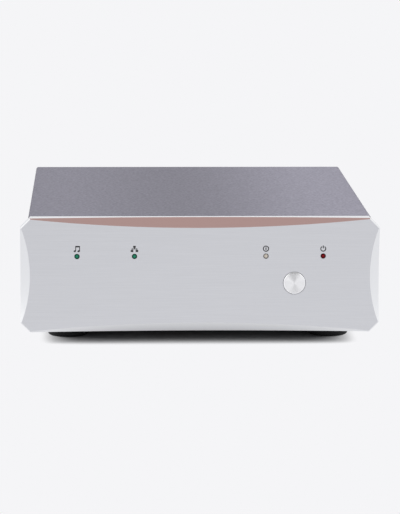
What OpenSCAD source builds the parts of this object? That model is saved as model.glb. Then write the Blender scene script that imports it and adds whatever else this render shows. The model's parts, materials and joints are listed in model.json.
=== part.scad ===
// Network music streamer in a half-width case: a thick front plate with arched bevels,
// a folded tray and cover, a rear panel with its sockets and the boards inside.
// X points right, Y from the front to the rear, Z up. The origin lies under the middle of the
// whole unit, on the surface that it stands on. All sizes are in millimetres.

/* [Front plate] */
// Width of the plate
plate_w = 220; // [212:0.5:240]
// Height of the plate, which is also the height of the case
plate_h = 70.4; // [69:0.2:84]
// Thickness of the plate
plate_t = 10; // [9:0.5:14]
// Length cut off each corner, measured along the edges
corner_cut = 6; // [4.5:0.25:8]
// Smallest width of the bevel round the face
edge_break = 0.6; // [0.3:0.05:1]
// Rise of the arched bevels at the middle of each edge
bevel_drop = 5.3; // [2:0.1:6]
// Metal left in front of the counterbores
face_wall = 4; // [3:0.25:5]

/* [Case] */
// How far the plate reaches past the cover at each side
plate_over = 4.8; // [3:0.1:7]
// Depth of the cover, behind the plate
case_d = 250; // [246:1:300]
// Thickness of the folded sheet
sheet_t = 1.2; // [1:0.1:2]
// Inner radius of the folds
fold_r = 0.2; // [0.1:0.05:1.5]
// Gap between sheets that slide together
fit_gap = 0.2; // [0.1:0.05:0.4]
// Shadow line between the plate and the cover
seam_gap = 0.3; // [0.1:0.05:0.6]
// Height of the side lips of the tray
lip_h = 13; // [11:0.5:18]
// Height of the rear lip of the tray
rear_lip_h = 9; // [8.5:0.25:10]
// Thickness of the rear panel
panel_t = 2; // [1.5:0.25:3]
// Step from the rear edge of the cover to the rear panel
rear_inset = 1; // [0.5:0.25:2]
// Length of the air slots in the floor
slot_l = 26; // [16:1:30]
// Width of the air slots in the floor
slot_w = 3; // [2:0.25:3.5]

/* [Feet] */
// Height of the feet
foot_h = 8; // [7:0.5:14]
// Diameter of the feet
foot_d = 25; // [22:0.5:28]
// Radius of the lower edge of the feet
foot_round = 1.6; // [1:0.1:2.5]
// Distance of the feet from the sides of the cover
foot_side = 23.9; // [21.5:0.1:27]
// Distance of the front feet from the plate
foot_front = 30; // [28:0.5:34]
// Distance of the rear feet from the rear edge
foot_rear = 30; // [28:0.5:34]

/* [Screws and posts] */
// Thread diameter of all small screws
screw_d = 3; // [2.6:0.1:3.2]
// Head diameter of the small screws
head_d = 5.6; // [5:0.1:6]
// Head height of the small screws
head_h = 1.7; // [1.4:0.1:2]
// Width of the hexagon in the screw heads
key_w = 2; // [1.5:0.1:2.5]
// Gap round a screw in its thread
thread_gap = 0.1; // [0.05:0.05:0.2]
// Gap round a screw in a plain hole
hole_gap = 0.25; // [0.2:0.05:0.4]
// Length of the board posts
post_h = 8; // [7:0.5:9]
// Width over the flats of the board posts
post_w = 6; // [5.5:0.1:6.5]
// Diameter of the root of a post in the sheet
post_root_d = 4.4; // [4.2:0.1:4.8]

/* [Indicators] */
// Diameter of the indicators
led_d = 3; // [2.8:0.1:3.2]
// Gap round an indicator in the plate
led_gap = 0.15; // [0.1:0.05:0.25]
// How far the indicators stand out of the face
led_proud = 0.6; // [0.4:0.1:0.9]
// Distance of the outer indicators from the ends of the plate
led_edge = 34.7; // [32:0.1:38]
// Distance between the two indicators on one side
led_pitch = 35.1; // [33:0.1:38]
// Height of the indicators above the lower edge of the plate
led_z = 47; // [45:0.2:50]

/* [Push button] */
// Diameter of the button
button_d = 13.6; // [12:0.1:15]
// Gap round the button
button_gap = 0.2; // [0.15:0.05:0.35]
// How far the button stands out of the face
button_proud = 1; // [0.9:0.1:1.6]
// Rise of its crowned face
button_crown = 0.5; // [0.2:0.05:0.7]
// Travel of the button
button_travel = 1.5; // [0.8:0.1:1.8]
// Height of the button above the lower edge of the plate
button_z = 30.3; // [29:0.1:31]

/* [Boards] */
// Thickness of all boards
pcb_t = 1.6; // [1.4:0.1:2]
// Depth of the main board
main_d = 95; // [92:1:105]
// Width of the supply board
supply_w = 84; // [82:0.5:88]
// Depth of the supply board
supply_d = 76; // [75:0.5:82]
// Height of the smoothing capacitors
cap_h = 30; // [22:1:36]
// Diameter of the smoothing capacitors
cap_d = 18; // [14:0.5:19]
// Height of the cooling fins on the supply board
fin_h = 32; // [24:1:36]

/* [Transformer] */
// Diameter of the winding
tor_d = 82; // [76:1:86]
// Height of the winding
tor_h = 36; // [30:1:40]
// Diameter of the hole through the winding
tor_hole = 26; // [20:1:30]
// Thickness of the soft pads
pad_t = 2.5; // [2:0.25:3]
// Diameter of the clamping disc
disc_d = 54; // [46:1:58]
// Diameter of the bolt
bolt_d = 6; // [5:0.5:8]

/* [Rear sockets] */
// Space between neighbouring sockets
socket_gap = 6; // [5:0.25:7]
// Width of the network sockets
rj_w = 16; // [15.5:0.1:16.5]
// Height of the network sockets
rj_h = 13.4; // [13:0.1:14]
// Width of the optical socket
opt_w = 13.6; // [13.2:0.1:14.5]
// Diameter of the coaxial barrel
coax_d = 8.3; // [8.1:0.1:8.5]
// Length of the coaxial barrel behind the rear panel
coax_proud = 9.5; // [8:0.25:11]
// Width of the flange of the studio socket
aes_w = 26; // [25.5:0.1:27]
// Inner diameter of the studio socket
aes_bore = 19; // [18.6:0.1:19.4]

/* [Mains inlet] */
// Width of the inlet flange
inlet_w = 58; // [57:0.5:62]
// Height of the inlet flange
inlet_h = 33; // [32:0.5:36]
// Thickness of the inlet flange
inlet_t = 2.5; // [2:0.25:3.5]
// Height of the inlet above the floor
inlet_z = 34; // [28:0.5:40]
// Tilt of the rocker to either side
rocker_tilt = 9; // [6:0.5:10]

/* [Wires] */
// Diameter of the wires
wire_d = 2; // [1.6:0.1:2.4]
// Gap between the end of a wire and its terminal
wire_gap = 0.2; // [0.1:0.05:0.3]

/* [Hidden] */
$fn = 96;

// How far a cutter reaches past the face that it cuts
cut = 1;

// Places along Y: faces of the plate, the front wall, the rear panel and the cover
front_reach = max(button_proud, led_proud);
rear_reach = coax_proud - rear_inset;
face_y = -(front_reach + plate_t + case_d + rear_reach) / 2 + front_reach;
back_y = face_y + plate_t;
wall_y = back_y + sheet_t;
rear_y = back_y + case_d;
panel_y1 = rear_y - rear_inset;
panel_y0 = panel_y1 - panel_t;

// Places along Z: the floor, its upper face, the roof and its lower face
floor_z0 = foot_h;
floor_z = floor_z0 + sheet_t;
bend_r = sheet_t + fold_r;
top_z = floor_z0 + plate_h;
roof_z = top_z - sheet_t;
plate_mid_z = floor_z0 + plate_h / 2;

// Widths of the cover, of the tray and of the free space between the lips of the tray
case_w = plate_w - 2 * plate_over;
tray_w = case_w - 2 * sheet_t - 2 * fit_gap;
inner_x = tray_w / 2 - sheet_t;

// Screws, posts and feet of the case
screw_l = 6;
screw_hole_d = screw_d + 2 * hole_gap;
thread_d = screw_d + 2 * thread_gap;
root_gap = 0.05;
post_hole_d = post_root_d + 2 * root_gap;
post_edge = 4;
lip_screw_z = floor_z0 + lip_h / 2;
cover_screw_in = 20;
cover_screw_y = [back_y + cover_screw_in, back_y + case_d / 2, rear_y - cover_screw_in];
plate_screw_side = 8.5;
plate_screw_edge = 13.2;
plate_screw_x = tray_w / 2 - plate_screw_side;
plate_screw_z = plate_h / 2 - plate_screw_edge;
foot_x = case_w / 2 - foot_side;
foot_y = [back_y + foot_front, rear_y - foot_rear];
foot_bore_gap = 1;
foot_bore_d = head_d + 2 * foot_bore_gap;
foot_seat = 3;

// Indicators in two pairs, and the front board behind them
led_outer_x = plate_w / 2 - led_edge;
led_inner_x = led_outer_x - led_pitch;
led_xs = [-led_outer_x, -led_inner_x, led_inner_x, led_outer_x];
led_dome = 1.2;
led_collar_over = 0.4;
led_collar_d = led_d + 2 * led_collar_over;
led_collar_t = 1;
led_wall_gap = 1;
lead_w = 0.5;
lead_pitch = 2.54;
lead_hole_d = 1;
lead_end = 1;
front_post_l = 10;
front_board_y = wall_y + front_post_l;
front_margin_x = 12;
front_margin_z = 8;
front_board_w = 2 * (led_outer_x + front_margin_x);
front_board_h = led_z - button_z + 2 * front_margin_z;
front_board_z = floor_z0 + (led_z + button_z) / 2;
front_post_x = front_board_w / 2 - post_edge;
front_post_z = front_board_h / 2 - post_edge;
header_h = 8.5;
header_w = 18;
header_t = 6;

// Button: its flange behind the face wall, the stem and the switch on the front board
button_x = (led_inner_x + led_outer_x) / 2;
crown_flat_d = 2;
flange_over = 1.5;
flange_d = button_d + 2 * flange_over;
flange_t = 1.5;
flange_gap = 0.2;
stem_d = 5;
stem_gap = 0.75;
switch_w = 9;
switch_t = 6;
plunger_d = 3.6;
plunger_gap = 0.2;
plunger_seat = 1;
plunger_end_gap = 0.5;
plunger_l = 3;
switch_y = front_board_y - switch_t;
plunger_y = switch_y - plunger_l;

// Main board with the rear sockets in a row
side_gap = 5;
edge_margin = 4;
rear_gap = 1;
rear_post_in = 28;
coax_w = 12;
main_x0 = -inner_x + side_gap;
lan_x = main_x0 + edge_margin + rj_w / 2;
i2s_x = lan_x + rj_w + socket_gap;
opt_x = i2s_x + rj_w / 2 + socket_gap + opt_w / 2;
coax_x = opt_x + opt_w / 2 + socket_gap + coax_w / 2;
aes_x = coax_x + coax_w / 2 + socket_gap + aes_w / 2;
main_x1 = aes_x + aes_w / 2 + edge_margin;
main_y1 = panel_y0 - sheet_t - rear_gap;
main_y0 = main_y1 - main_d;
main_top = floor_z + post_h + pcb_t;
slot_pitch = 10;
slot_x = (main_x0 + main_x1) / 2;
main_post_y = [main_y0 + post_edge, main_y1 - rear_post_in];
main_posts = [for (x = [main_x0 + post_edge, main_x1 - post_edge], y = main_post_y) [x, y]];

// Network module with its can and heatsink, and the small parts beside it
module_w = 60;
module_d = 44;
module_in_x = 42;
module_in_y = 38;
module_x = main_x0 + module_in_x;
module_y = main_y0 + module_in_y;
module_lift = 5;
rail_t = 3;
can_w = 40;
can_d = 30;
can_h = 3;
can_z = main_top + module_lift + pcb_t + can_h;
cooler_w = 36;
cooler_d = 28;
cooler_h = 9;
cooler_base = 2;
cooler_fin = 1.4;
parts_in = 22;
parts_x = main_x1 - parts_in;
chip_w = 14;
chip_t = 1.6;
chip_in = 18;
driver_w = 10;
driver_t = 1.4;
driver_in = 62;
clock_w = 13;
clock_l = 18;
clock_h = 6;
clock_in = 38;
clock_gap = 5;
small_cap_d = 8;
small_cap_h = 11;
small_cap_pitch = 12;
small_cap_x = 18;
small_cap_y = 8;

// Network sockets: the skin, the insert in it and its contacts
cut_gap = 0.3;
rj_l = 21;
rj_proud = 0.8;
rj_skin = 0.4;
rj_gap = 0.05;
rj_inset = 0.3;
rj_plug_w = 11.9;
rj_plug_l = 14;
rj_plug_h = 7.2;
rj_plug_up = 0.8;
rj_key_w = 6.2;
rj_key_h = 3;
rj_key_down = 3.6;
contact_w = 0.5;
contact_l = 11;
contact_h = 1.4;
contact_up = 3.8;
contact_root = 0.2;
contact_pitch = 1.02;

// Optical socket and its shutter
opt_h = 12;
opt_l = 19;
opt_deep = 14;
opt_proud = 1.2;
opt_wall = 1.6;
opt_rim = 1.2;
opt_ledge = 0.5;
opt_inner_w = opt_w - 2 * opt_wall;
opt_inner_h = opt_h - 2 * opt_wall;
shutter_t = 0.8;
shutter_gap = 0.3;
shutter_r = 0.7;
shutter_z = main_top + opt_h - opt_wall - shutter_r - shutter_gap;
shutter_y = panel_y1 + opt_proud - opt_rim - shutter_gap - shutter_r;
pivot_l = 0.7;
pivot_gap = 0.1;
pivot_end_gap = 0.2;

// Coaxial socket: housing, barrel and core
coax_up = 7;
coax_z = main_top + coax_up;
coax_wall = 0.7;
coax_step = 0.4;
coax_step_d = coax_d + 2 * coax_step;
coax_step_l = 0.5;
coax_fit = 0.05;
coax_body_l = 13.6;
coax_body_h = 12;
coax_body_gap = 0.4;
coax_root = 4;
coax_body_y = panel_y0 - coax_body_gap - coax_body_l;
coax_barrel_y = coax_body_y + coax_root + 2 * coax_fit;
coax_sink = 0.4;
coax_pin_d = 3.3;
coax_pin_l = 10;

// Studio socket: shell, insert and pins
aes_h = 31;
aes_t = 1.8;
aes_round = 2.5;
aes_up = 13.2;
aes_z = main_top + aes_up;
aes_wall = 2.2;
aes_l = 20;
aes_depth = 15;
aes_fit = 0.05;
aes_pin_d = 2.4;
aes_pin_r = 4.7;
aes_pin_sink = 0.6;
aes_pin_as = [30, 150, 270];
aes_screw_in = 3.6;
aes_screw = [aes_w / 2 - aes_screw_in, aes_h / 2 - aes_screw_in];

// Mains inlet: flange outside, body inside, with the cavity, the drawer and the rocker
inlet_side = 4;
inlet_round = 4;
inlet_x = inner_x - inlet_side - inlet_w / 2;
inlet_mid_z = floor_z + inlet_z;
inlet_body_w = 46;
inlet_body_h = 30;
inlet_body_l = 30;
inlet_face_y = panel_y1 + inlet_t;
inlet_back_y = panel_y1 - inlet_body_l;
inlet_screw_in = 3.4;
inlet_screw_x = inlet_w / 2 - inlet_screw_in;
cavity_w = 24.6;
cavity_h = 16.6;
cavity_l = 17;
cavity_left = 8.2;
cavity_up = 5.2;
cavity_x = inlet_x - cavity_left;
cavity_z = inlet_mid_z + cavity_up;
cavity_cut = 5;
blade_w = 2;
blade_h = 4;
blade_gap = 0.05;
blade_sink = 4.6;
blade_tail = 8;
blade_side = 7;
blade_down = 1.8;
blade_up = 2.2;
blade_spots = [[-blade_side, -blade_down], [0, blade_up], [blade_side, -blade_down]];
drawer_w = 21.4;
drawer_h = 7.4;
drawer_l = 24;
drawer_gap = 0.3;
drawer_down = 8.7;
drawer_z = inlet_mid_z - drawer_down;
drawer_lip = 1.2;
drawer_lip_x = 0.7;
drawer_lip_z = 0.5;
grip_w = 9;
grip_h = 1.2;
fuse_d = 5.2;
fuse_l = 20;
fuse_gap = 0.2;
fuse_x = 5;
fuse_in = 1;
fuse_down = 3.6;
fuse_z = drawer_z + drawer_h / 2 - fuse_down;
rocker_right = 14.5;
rocker_x = inlet_x + rocker_right;
rocker_w = 11.4;
rocker_open_w = 12;
rocker_open_h = 22;
rocker_open_l = 13;
rocker_sink = 5;
rocker_half = 9.2;
rocker_tip = 6.2;
rocker_dip = 4.6;
rocker_heel_half = 8.4;
rocker_heel = 1;
rocker_root_half = 3;
rocker_root = 4;
rocker_pin_r = 1.5;
rocker_pin_gap = 0.1;
rocker_pin_l = 1.2;
rocker_pin_end = 0.2;

// Screws of the rear panel: beside the sockets, between them and the inlet, and beside the inlet
panel_screw_in = 8;
panel_screw_x = [
    panel_screw_in - inner_x,
    (main_x1 + inlet_x - inlet_w / 2) / 2,
    inner_x - panel_screw_in
];
rear_screw_z = (floor_z + floor_z0 + rear_lip_h) / 2;

// Supply board, behind the front board on the left
front_room = 29;
zone_y = wall_y + front_room;
supply_x0 = main_x0;
supply_x1 = supply_x0 + supply_w;
supply_y0 = zone_y;
supply_y1 = supply_y0 + supply_d;
supply_posts = [
    for (x = [supply_x0 + post_edge, supply_x1 - post_edge])
        for (y = [supply_y0 + post_edge, supply_y1 - post_edge]) [x, y]
];
floor_posts = concat(main_posts, supply_posts);
cap_gap = 4;
cap_in = 17;
cap_pitch = cap_d + cap_gap;
cap_spots = [
    for (i = [0, 1], j = [0, 1])
        [supply_x0 + cap_in + i * cap_pitch, supply_y0 + cap_in + j * cap_pitch]
];
sink_base = 3;
sink_in = 14;
sink_y = supply_y1 - sink_in;
sink_w = 60;
fin_t = 1.6;
fin_l = 9;
regulator_w = 10;
regulator_t = 4.5;
regulator_h = 15;
regulator_up = 4;
regulator_pitch = 18;
regulator_xs = [for (i = [-1, 0, 1]) supply_x0 + supply_w / 2 + regulator_pitch * i];
leg_w = 0.8;
leg_in = 1.8;
leg_root = 1;
bridge_w = 20;
bridge_t = 4;
bridge_h = 14;
bridge_side = 6;
bridge_in = 32;
block_w = 8;
block_l = 14;
block_h = 10;
block_in = 1;
ac_block_in = 18;
dc_block_in = 25;
block_x = supply_x1 - block_in - block_w / 2;
ac_block_y = supply_y0 + ac_block_in;
dc_block_y = supply_y1 - dc_block_in;

// Transformer on the right, with its bolt through floor, pads, winding and disc
tor_side = 6;
tor_front = 8;
tor_x = inner_x - tor_side - tor_d / 2;
tor_y = zone_y + tor_front + tor_d / 2;
tor_round = 6;
tor_z = floor_z + pad_t;
pad_over = 2;
pad_bore_gap = 2;
disc_t = 1.5;
disc_z = tor_z + tor_h + pad_t;
nut_h = 5;
nut_w = bolt_d * 1.65;
bolt_gap = 0.3;
bolt_head_h = 3;
bolt_end = 2;

// Ribbon in the lane between the supply board and the transformer
ribbon_x = (supply_x1 + tor_x - tor_d / 2) / 2;
ribbon_w = 12.7;
ribbon_t = 0.9;
ribbon_out = 60;
ribbon_rise = 14;
ribbon_drop = 40;
header_in = 7;
main_header_y = main_y0 + header_in;
main_block_left = 24;
main_block_x = ribbon_x - main_block_left;

// Wires: steps along each wire, sides round it, bows of their ends and the earth point
wire_n = 18;
wire_s = 10;
wire_half = 4;
mains_bow = 30;
secondary_bow = 10;
secondary_down = 4;
supply_bow = 25;
earth_bow = 16;
earth_left = 20;
earth_in = 62;
earth_x = inlet_x - earth_left;
earth_y = panel_y0 - earth_in;
lug_r = 3.4;
lug_t = 0.8;
lug_tail_w = 3;
lug_tail_l = 4;
lug_bed = 0.2;

function arc_r(chord, rise) = (chord * chord / 4 + rise * rise) / (2 * rise);
function unit(v) = v / norm(v);
function bez(p, t) = p[0] * pow(1 - t, 3) + 3 * p[1] * t * pow(1 - t, 2)
    + 3 * p[2] * t * t * (1 - t) + p[3] * pow(t, 3);
function bez_way(p, t) = unit((p[1] - p[0]) * pow(1 - t, 2) + 2 * (p[2] - p[1]) * t * (1 - t)
    + (p[3] - p[2]) * t * t);

// Lifts an outline drawn in X and Z along Y
module along_y(y, l) {
    translate([0, y + l, 0])
        rotate([90, 0, 0])
            linear_extrude(l) children();
}

// Lifts an outline drawn in Y and Z along X
module along_x(x, l) {
    translate([x, 0, 0])
        rotate([90, 0, 90])
            linear_extrude(l) children();
}

// Round bar or hole along Y
module bar_y(x, y, z, d, l) {
    translate([x, y, z])
        rotate([-90, 0, 0])
            cylinder(h = l, d = d);
}

// Block given by its middle in X and Z, its front in Y and its sizes
module block(x, y, z, w, l, h) {
    translate([x - w / 2, y, z - h / 2])
        cube([w, l, h]);
}

// Outline of a sheet folded at the corners, as a filled shape with round corners
module round_outline(w, h, r) {
    difference() {
        square([w, h], center = true);
        for (x = [-1, 1], z = [-1, 1])
            translate([x * (w / 2 - r / 2), z * (h / 2 - r / 2)])
                square(r, center = true);
    }
    for (x = [-1, 1], z = [-1, 1])
        translate([x * (w / 2 - r), z * (h / 2 - r)])
            circle(r);
}

// Outline of a wall that stands under the cover, with its upper corners clear of the folds
module wall_outline(w, z0, z1) {
    polygon([
        [-w / 2, z0], [w / 2, z0], [w / 2, z1 - bend_r], [w / 2 - bend_r, z1],
        [bend_r - w / 2, z1], [-w / 2, z1 - bend_r]
    ]);
}

// Domed screw with a hexagon socket: the head stands up from the origin
module screw(l) {
    dome_r = arc_r(head_d, head_h);
    difference() {
        union() {
            intersection() {
                translate([0, 0, head_h - dome_r])
                    sphere(dome_r);
                cylinder(h = head_h + cut, d = head_d + cut);
            }
            translate([0, 0, -l])
                cylinder(h = l + head_h / 2, d = screw_d);
        }
        translate([0, 0, head_h * 0.35])
            cylinder(h = head_h, d = key_w / cos(30), $fn = 6);
    }
}

// Hexagon post on a sheet, with its root in the sheet and a thread in its free end
module post(l) {
    difference() {
        union() {
            cylinder(h = l, d = post_w / cos(30), $fn = 6);
            translate([0, 0, -sheet_t])
                cylinder(h = sheet_t + l / 2, d = post_root_d);
        }
        translate([0, 0, l - screw_l])
            cylinder(h = screw_l + cut, d = thread_d);
    }
}

// Bevel along one edge of the plate, cut by a wide cone; half is the distance of the edge
module edge_bevel(half, chord) {
    r = arc_r(chord, bevel_drop);
    deep = edge_break + bevel_drop + cut;
    translate([0, -cut, half - edge_break - bevel_drop + r])
        rotate([-90, 0, 0])
            cylinder(h = deep + cut, r1 = r + cut, r2 = r - deep, $fn = 720);
}

// Wire along a curve with four control points
module wire(p, ref) {
    pts = [
        for (i = [0:wire_n])
            let (t = i / wire_n, v = bez_way(p, t), u = unit(cross(v, ref)), w = cross(u, v))
                for (j = [0:wire_s - 1])
                    bez(p, t) + wire_d / 2 * (cos(360 * j / wire_s) * u + sin(360 * j / wire_s) * w)
    ];
    sides = [
        for (i = [0:wire_n - 1], j = [0:wire_s - 1])
            let (k = (j + 1) % wire_s, a = i * wire_s, b = a + wire_s)
                each [[a + j, a + k, b + k], [a + j, b + k, b + j]]
    ];
    caps = [[for (j = [wire_s - 1:-1:0]) j], [for (j = [0:wire_s - 1]) wire_n * wire_s + j]];
    polyhedron(points = pts, faces = concat(caps, sides), convexity = 4);
}

// Front: plate, button, switch and indicators

module front_plate() {
    w = plate_w / 2;
    h = plate_h / 2;
    c = corner_cut;
    color([0.79, 0.79, 0.81])
        difference() {
            translate([0, 0, plate_mid_z])
                along_y(face_y, plate_t)
                    polygon([
                        [-w + c, -h], [w - c, -h], [w, -h + c], [w, h - c],
                        [w - c, h], [-w + c, h], [-w, h - c], [-w, -h + c]
                    ]);
            translate([0, face_y, plate_mid_z]) {
                for (a = [0, 180])
                    rotate([0, a, 0])
                        edge_bevel(h, plate_w - 2 * c);
                for (a = [90, 270])
                    rotate([0, a, 0])
                        edge_bevel(w, plate_h - 2 * c);
                for (x = [-1, 1], z = [-1, 1])
                    translate([x * (w - c / 2), 0, z * (h - c / 2)])
                        rotate([0, x * (90 - 45 * z), 0])
                            rotate([45, 0, 0])
                                cube([3 * c, edge_break * sqrt(2), edge_break * sqrt(2)], center = true);
            }
            for (x = led_xs) {
                bar_y(x, face_y - cut, floor_z0 + led_z, led_d + 2 * led_gap, plate_t + 2 * cut);
                bar_y(x, face_y + face_wall, floor_z0 + led_z, led_collar_d + 2 * led_gap, plate_t);
            }
            bar_y(button_x, face_y - cut, floor_z0 + button_z, button_d + 2 * button_gap, plate_t + 2 * cut);
            bar_y(button_x, face_y + face_wall, floor_z0 + button_z, flange_d + 2 * button_gap, plate_t);
            for (x = [-1, 1], z = [-1, 1])
                bar_y(x * plate_screw_x, back_y - screw_l, plate_mid_z + z * plate_screw_z, thread_d,
                    screw_l + cut);
        }
}

module plate_screws() {
    color([0.2, 0.2, 0.21])
        for (x = [-1, 1], z = [-1, 1])
            translate([x * plate_screw_x, wall_y, plate_mid_z + z * plate_screw_z])
                rotate([-90, 0, 0])
                    screw(screw_l);
}

module power_button() {
    crown_r = arc_r(button_d, button_crown);
    z = floor_z0 + button_z;
    front_y = face_y - button_proud;
    flange_y = face_y + face_wall + flange_gap;
    color([0.83, 0.83, 0.85]) {
        intersection() {
            bar_y(button_x, front_y, z, button_d, button_proud + face_wall + flange_t);
            translate([button_x, front_y + sqrt(pow(crown_r, 2) - pow(crown_flat_d / 2, 2)), z])
                sphere(crown_r);
        }
        bar_y(button_x, flange_y, z, flange_d, flange_t);
        bar_y(button_x, flange_y, z, stem_d, plunger_y - flange_y);
    }
}

module switch_plunger() {
    color([0.12, 0.12, 0.13])
        bar_y(button_x, plunger_y, floor_z0 + button_z, plunger_d, plunger_l + plunger_seat);
}

module push_switch() {
    z = floor_z0 + button_z;
    color([0.16, 0.16, 0.17])
        difference() {
            block(button_x, switch_y, z, switch_w, switch_t, switch_w);
            bar_y(button_x, switch_y - cut, z, plunger_d + 2 * plunger_gap,
                cut + plunger_seat + button_travel + plunger_end_gap);
        }
}

module led(x) {
    r = arc_r(led_d, led_dome);
    body_z = led_dome - led_proud;
    tail = front_board_y + pcb_t + lead_end - face_y;
    translate([x, face_y, floor_z0 + led_z])
        rotate([-90, 0, 0]) {
            translate([0, 0, body_z])
                cylinder(h = face_wall - body_z, d = led_d);
            intersection() {
                translate([0, 0, r - led_proud])
                    sphere(r);
                translate([0, 0, -led_proud - cut])
                    cylinder(h = led_dome + cut, d = led_d + cut);
            }
            translate([0, 0, face_wall])
                cylinder(h = led_collar_t, d = led_collar_d);
            for (s = [-1, 1])
                translate([s * lead_pitch / 2 - lead_w / 2, -lead_w / 2, face_wall])
                    cube([lead_w, lead_w, tail - face_wall]);
        }
}

module led_music() {
    color([0.1, 0.55, 0.25]) led(led_xs[0]);
}

module led_network() {
    color([0.1, 0.55, 0.25]) led(led_xs[1]);
}

module led_power() {
    color([0.8, 0.8, 0.78]) led(led_xs[2]);
}

module led_standby() {
    color([0.6, 0.1, 0.1]) led(led_xs[3]);
}

module front_board() {
    y = front_board_y - cut;
    color([0.05, 0.3, 0.15])
        difference() {
            block(0, front_board_y, front_board_z, front_board_w, pcb_t, front_board_h);
            for (x = led_xs, s = [-1, 1])
                bar_y(x + s * lead_pitch / 2, y, floor_z0 + led_z, lead_hole_d, pcb_t + 2 * cut);
            for (x = [-1, 1], z = [-1, 1])
                bar_y(x * front_post_x, y, front_board_z + z * front_post_z, screw_hole_d, pcb_t + 2 * cut);
        }
}

// Case: tray, rear panel, cover, feet and their screws

module chassis_tray() {
    color([0.55, 0.55, 0.57])
        difference() {
            union() {
                translate([-tray_w / 2, back_y, floor_z0])
                    cube([tray_w, panel_y1 - back_y, sheet_t]);
                along_y(back_y, sheet_t)
                    wall_outline(tray_w, floor_z0, roof_z - fit_gap);
                for (x = [-tray_w / 2, tray_w / 2 - sheet_t])
                    translate([x, back_y, floor_z0])
                        cube([sheet_t, panel_y0 - back_y, lip_h]);
                translate([-tray_w / 2, panel_y0 - sheet_t, floor_z0])
                    cube([tray_w, sheet_t, rear_lip_h]);
            }
            for (x = led_xs)
                bar_y(x, back_y - cut, floor_z0 + led_z, led_collar_d + 2 * led_wall_gap, sheet_t + 2 * cut);
            bar_y(button_x, back_y - cut, floor_z0 + button_z, stem_d + 2 * stem_gap, sheet_t + 2 * cut);
            for (x = [-1, 1], z = [-1, 1]) {
                bar_y(x * plate_screw_x, back_y - cut, plate_mid_z + z * plate_screw_z, screw_hole_d,
                    sheet_t + 2 * cut);
                bar_y(x * front_post_x, back_y - cut, front_board_z + z * front_post_z, post_hole_d,
                    sheet_t + 2 * cut);
            }
            for (x = panel_screw_x)
                bar_y(x, panel_y0 - sheet_t - cut, rear_screw_z, thread_d, sheet_t + 2 * cut);
            for (y = cover_screw_y)
                translate([-case_w, y, lip_screw_z])
                    rotate([0, 90, 0])
                        cylinder(h = 2 * case_w, d = thread_d);
            for (x = [-foot_x, foot_x], y = foot_y)
                floor_hole(x, y, thread_d);
            for (p = floor_posts)
                floor_hole(p[0], p[1], post_hole_d);
            floor_hole(earth_x, earth_y, thread_d);
            floor_hole(tor_x, tor_y, bolt_d + 2 * bolt_gap);
            for (i = [-3:3])
                translate([slot_x + slot_pitch * i - slot_w / 2, module_y - slot_l / 2, floor_z0 - cut])
                    cube([slot_w, slot_l, sheet_t + 2 * cut]);
        }
}

// Round hole through the floor
module floor_hole(x, y, d) {
    translate([x, y, floor_z0 - cut])
        cylinder(h = sheet_t + 2 * cut, d = d);
}

module rear_panel() {
    y = panel_y0 - cut;
    l = panel_t + 2 * cut;
    gap = 2 * cut_gap;
    color([0.6, 0.6, 0.62])
        difference() {
            along_y(panel_y0, panel_t)
                wall_outline(tray_w - 2 * fit_gap, floor_z, roof_z - fit_gap);
            for (x = panel_screw_x)
                bar_y(x, y, rear_screw_z, screw_hole_d, l);
            for (x = [lan_x, i2s_x])
                block(x, y, main_top + rj_h / 2, rj_w + gap, l, rj_h + gap);
            block(opt_x, y, main_top + opt_h / 2, opt_w + gap, l, opt_h + gap);
            bar_y(coax_x, y, coax_z, coax_step_d + gap, l);
            bar_y(aes_x, y, aes_z, aes_bore + 2 * aes_wall + gap, l);
            for (s = [-1, 1]) {
                bar_y(aes_x + s * aes_screw[0], y, aes_z + s * aes_screw[1], thread_d, l);
                bar_y(inlet_x + s * inlet_screw_x, y, inlet_mid_z, thread_d, l);
            }
            block(inlet_x, y, inlet_mid_z, inlet_body_w + gap, l, inlet_body_h + gap);
        }
}

module panel_screws() {
    color([0.15, 0.15, 0.16]) {
        for (x = panel_screw_x)
            translate([x, panel_y1, rear_screw_z])
                rotate([-90, 0, 0])
                    screw(screw_l);
        for (s = [-1, 1]) {
            translate([aes_x + s * aes_screw[0], panel_y1 + aes_t, aes_z + s * aes_screw[1]])
                rotate([-90, 0, 0])
                    screw(screw_l);
            translate([inlet_x + s * inlet_screw_x, inlet_face_y, inlet_mid_z])
                rotate([-90, 0, 0])
                    screw(screw_l);
        }
    }
}

module top_cover() {
    h = top_z - floor_z0;
    color([0.52, 0.52, 0.57])
        difference() {
            along_y(back_y + seam_gap, case_d - seam_gap)
                difference() {
                    translate([0, floor_z0])
                        round_outline(case_w, 2 * h, bend_r);
                    translate([0, floor_z0])
                        round_outline(case_w - 2 * sheet_t, 2 * h - 2 * sheet_t, fold_r);
                    translate([0, floor_z0 - h])
                        square([2 * case_w, 2 * h], center = true);
                }
            for (y = cover_screw_y)
                translate([-case_w, y, lip_screw_z])
                    rotate([0, 90, 0])
                        cylinder(h = 2 * case_w, d = screw_hole_d);
        }
}

module cover_screws() {
    color([0.15, 0.15, 0.16])
        for (y = cover_screw_y, s = [-1, 1])
            translate([s * case_w / 2, y, lip_screw_z])
                rotate([0, 90 * s, 0])
                    screw(screw_l);
}

module foot(x, y) {
    r = foot_d / 2;
    color([0.07, 0.07, 0.07])
        translate([x, y, 0])
            rotate_extrude()
                difference() {
                    union() {
                        translate([0, foot_round])
                            square([r, foot_h - foot_round]);
                        square([r - foot_round, foot_h]);
                        translate([r - foot_round, foot_round])
                            circle(foot_round);
                    }
                    square([foot_bore_d / 2, foot_h - foot_seat]);
                    square([screw_hole_d / 2, foot_h + cut]);
                }
}

module foot_front_left() {
    foot(-foot_x, foot_y[0]);
}

module foot_front_right() {
    foot(foot_x, foot_y[0]);
}

module foot_rear_left() {
    foot(-foot_x, foot_y[1]);
}

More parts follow.
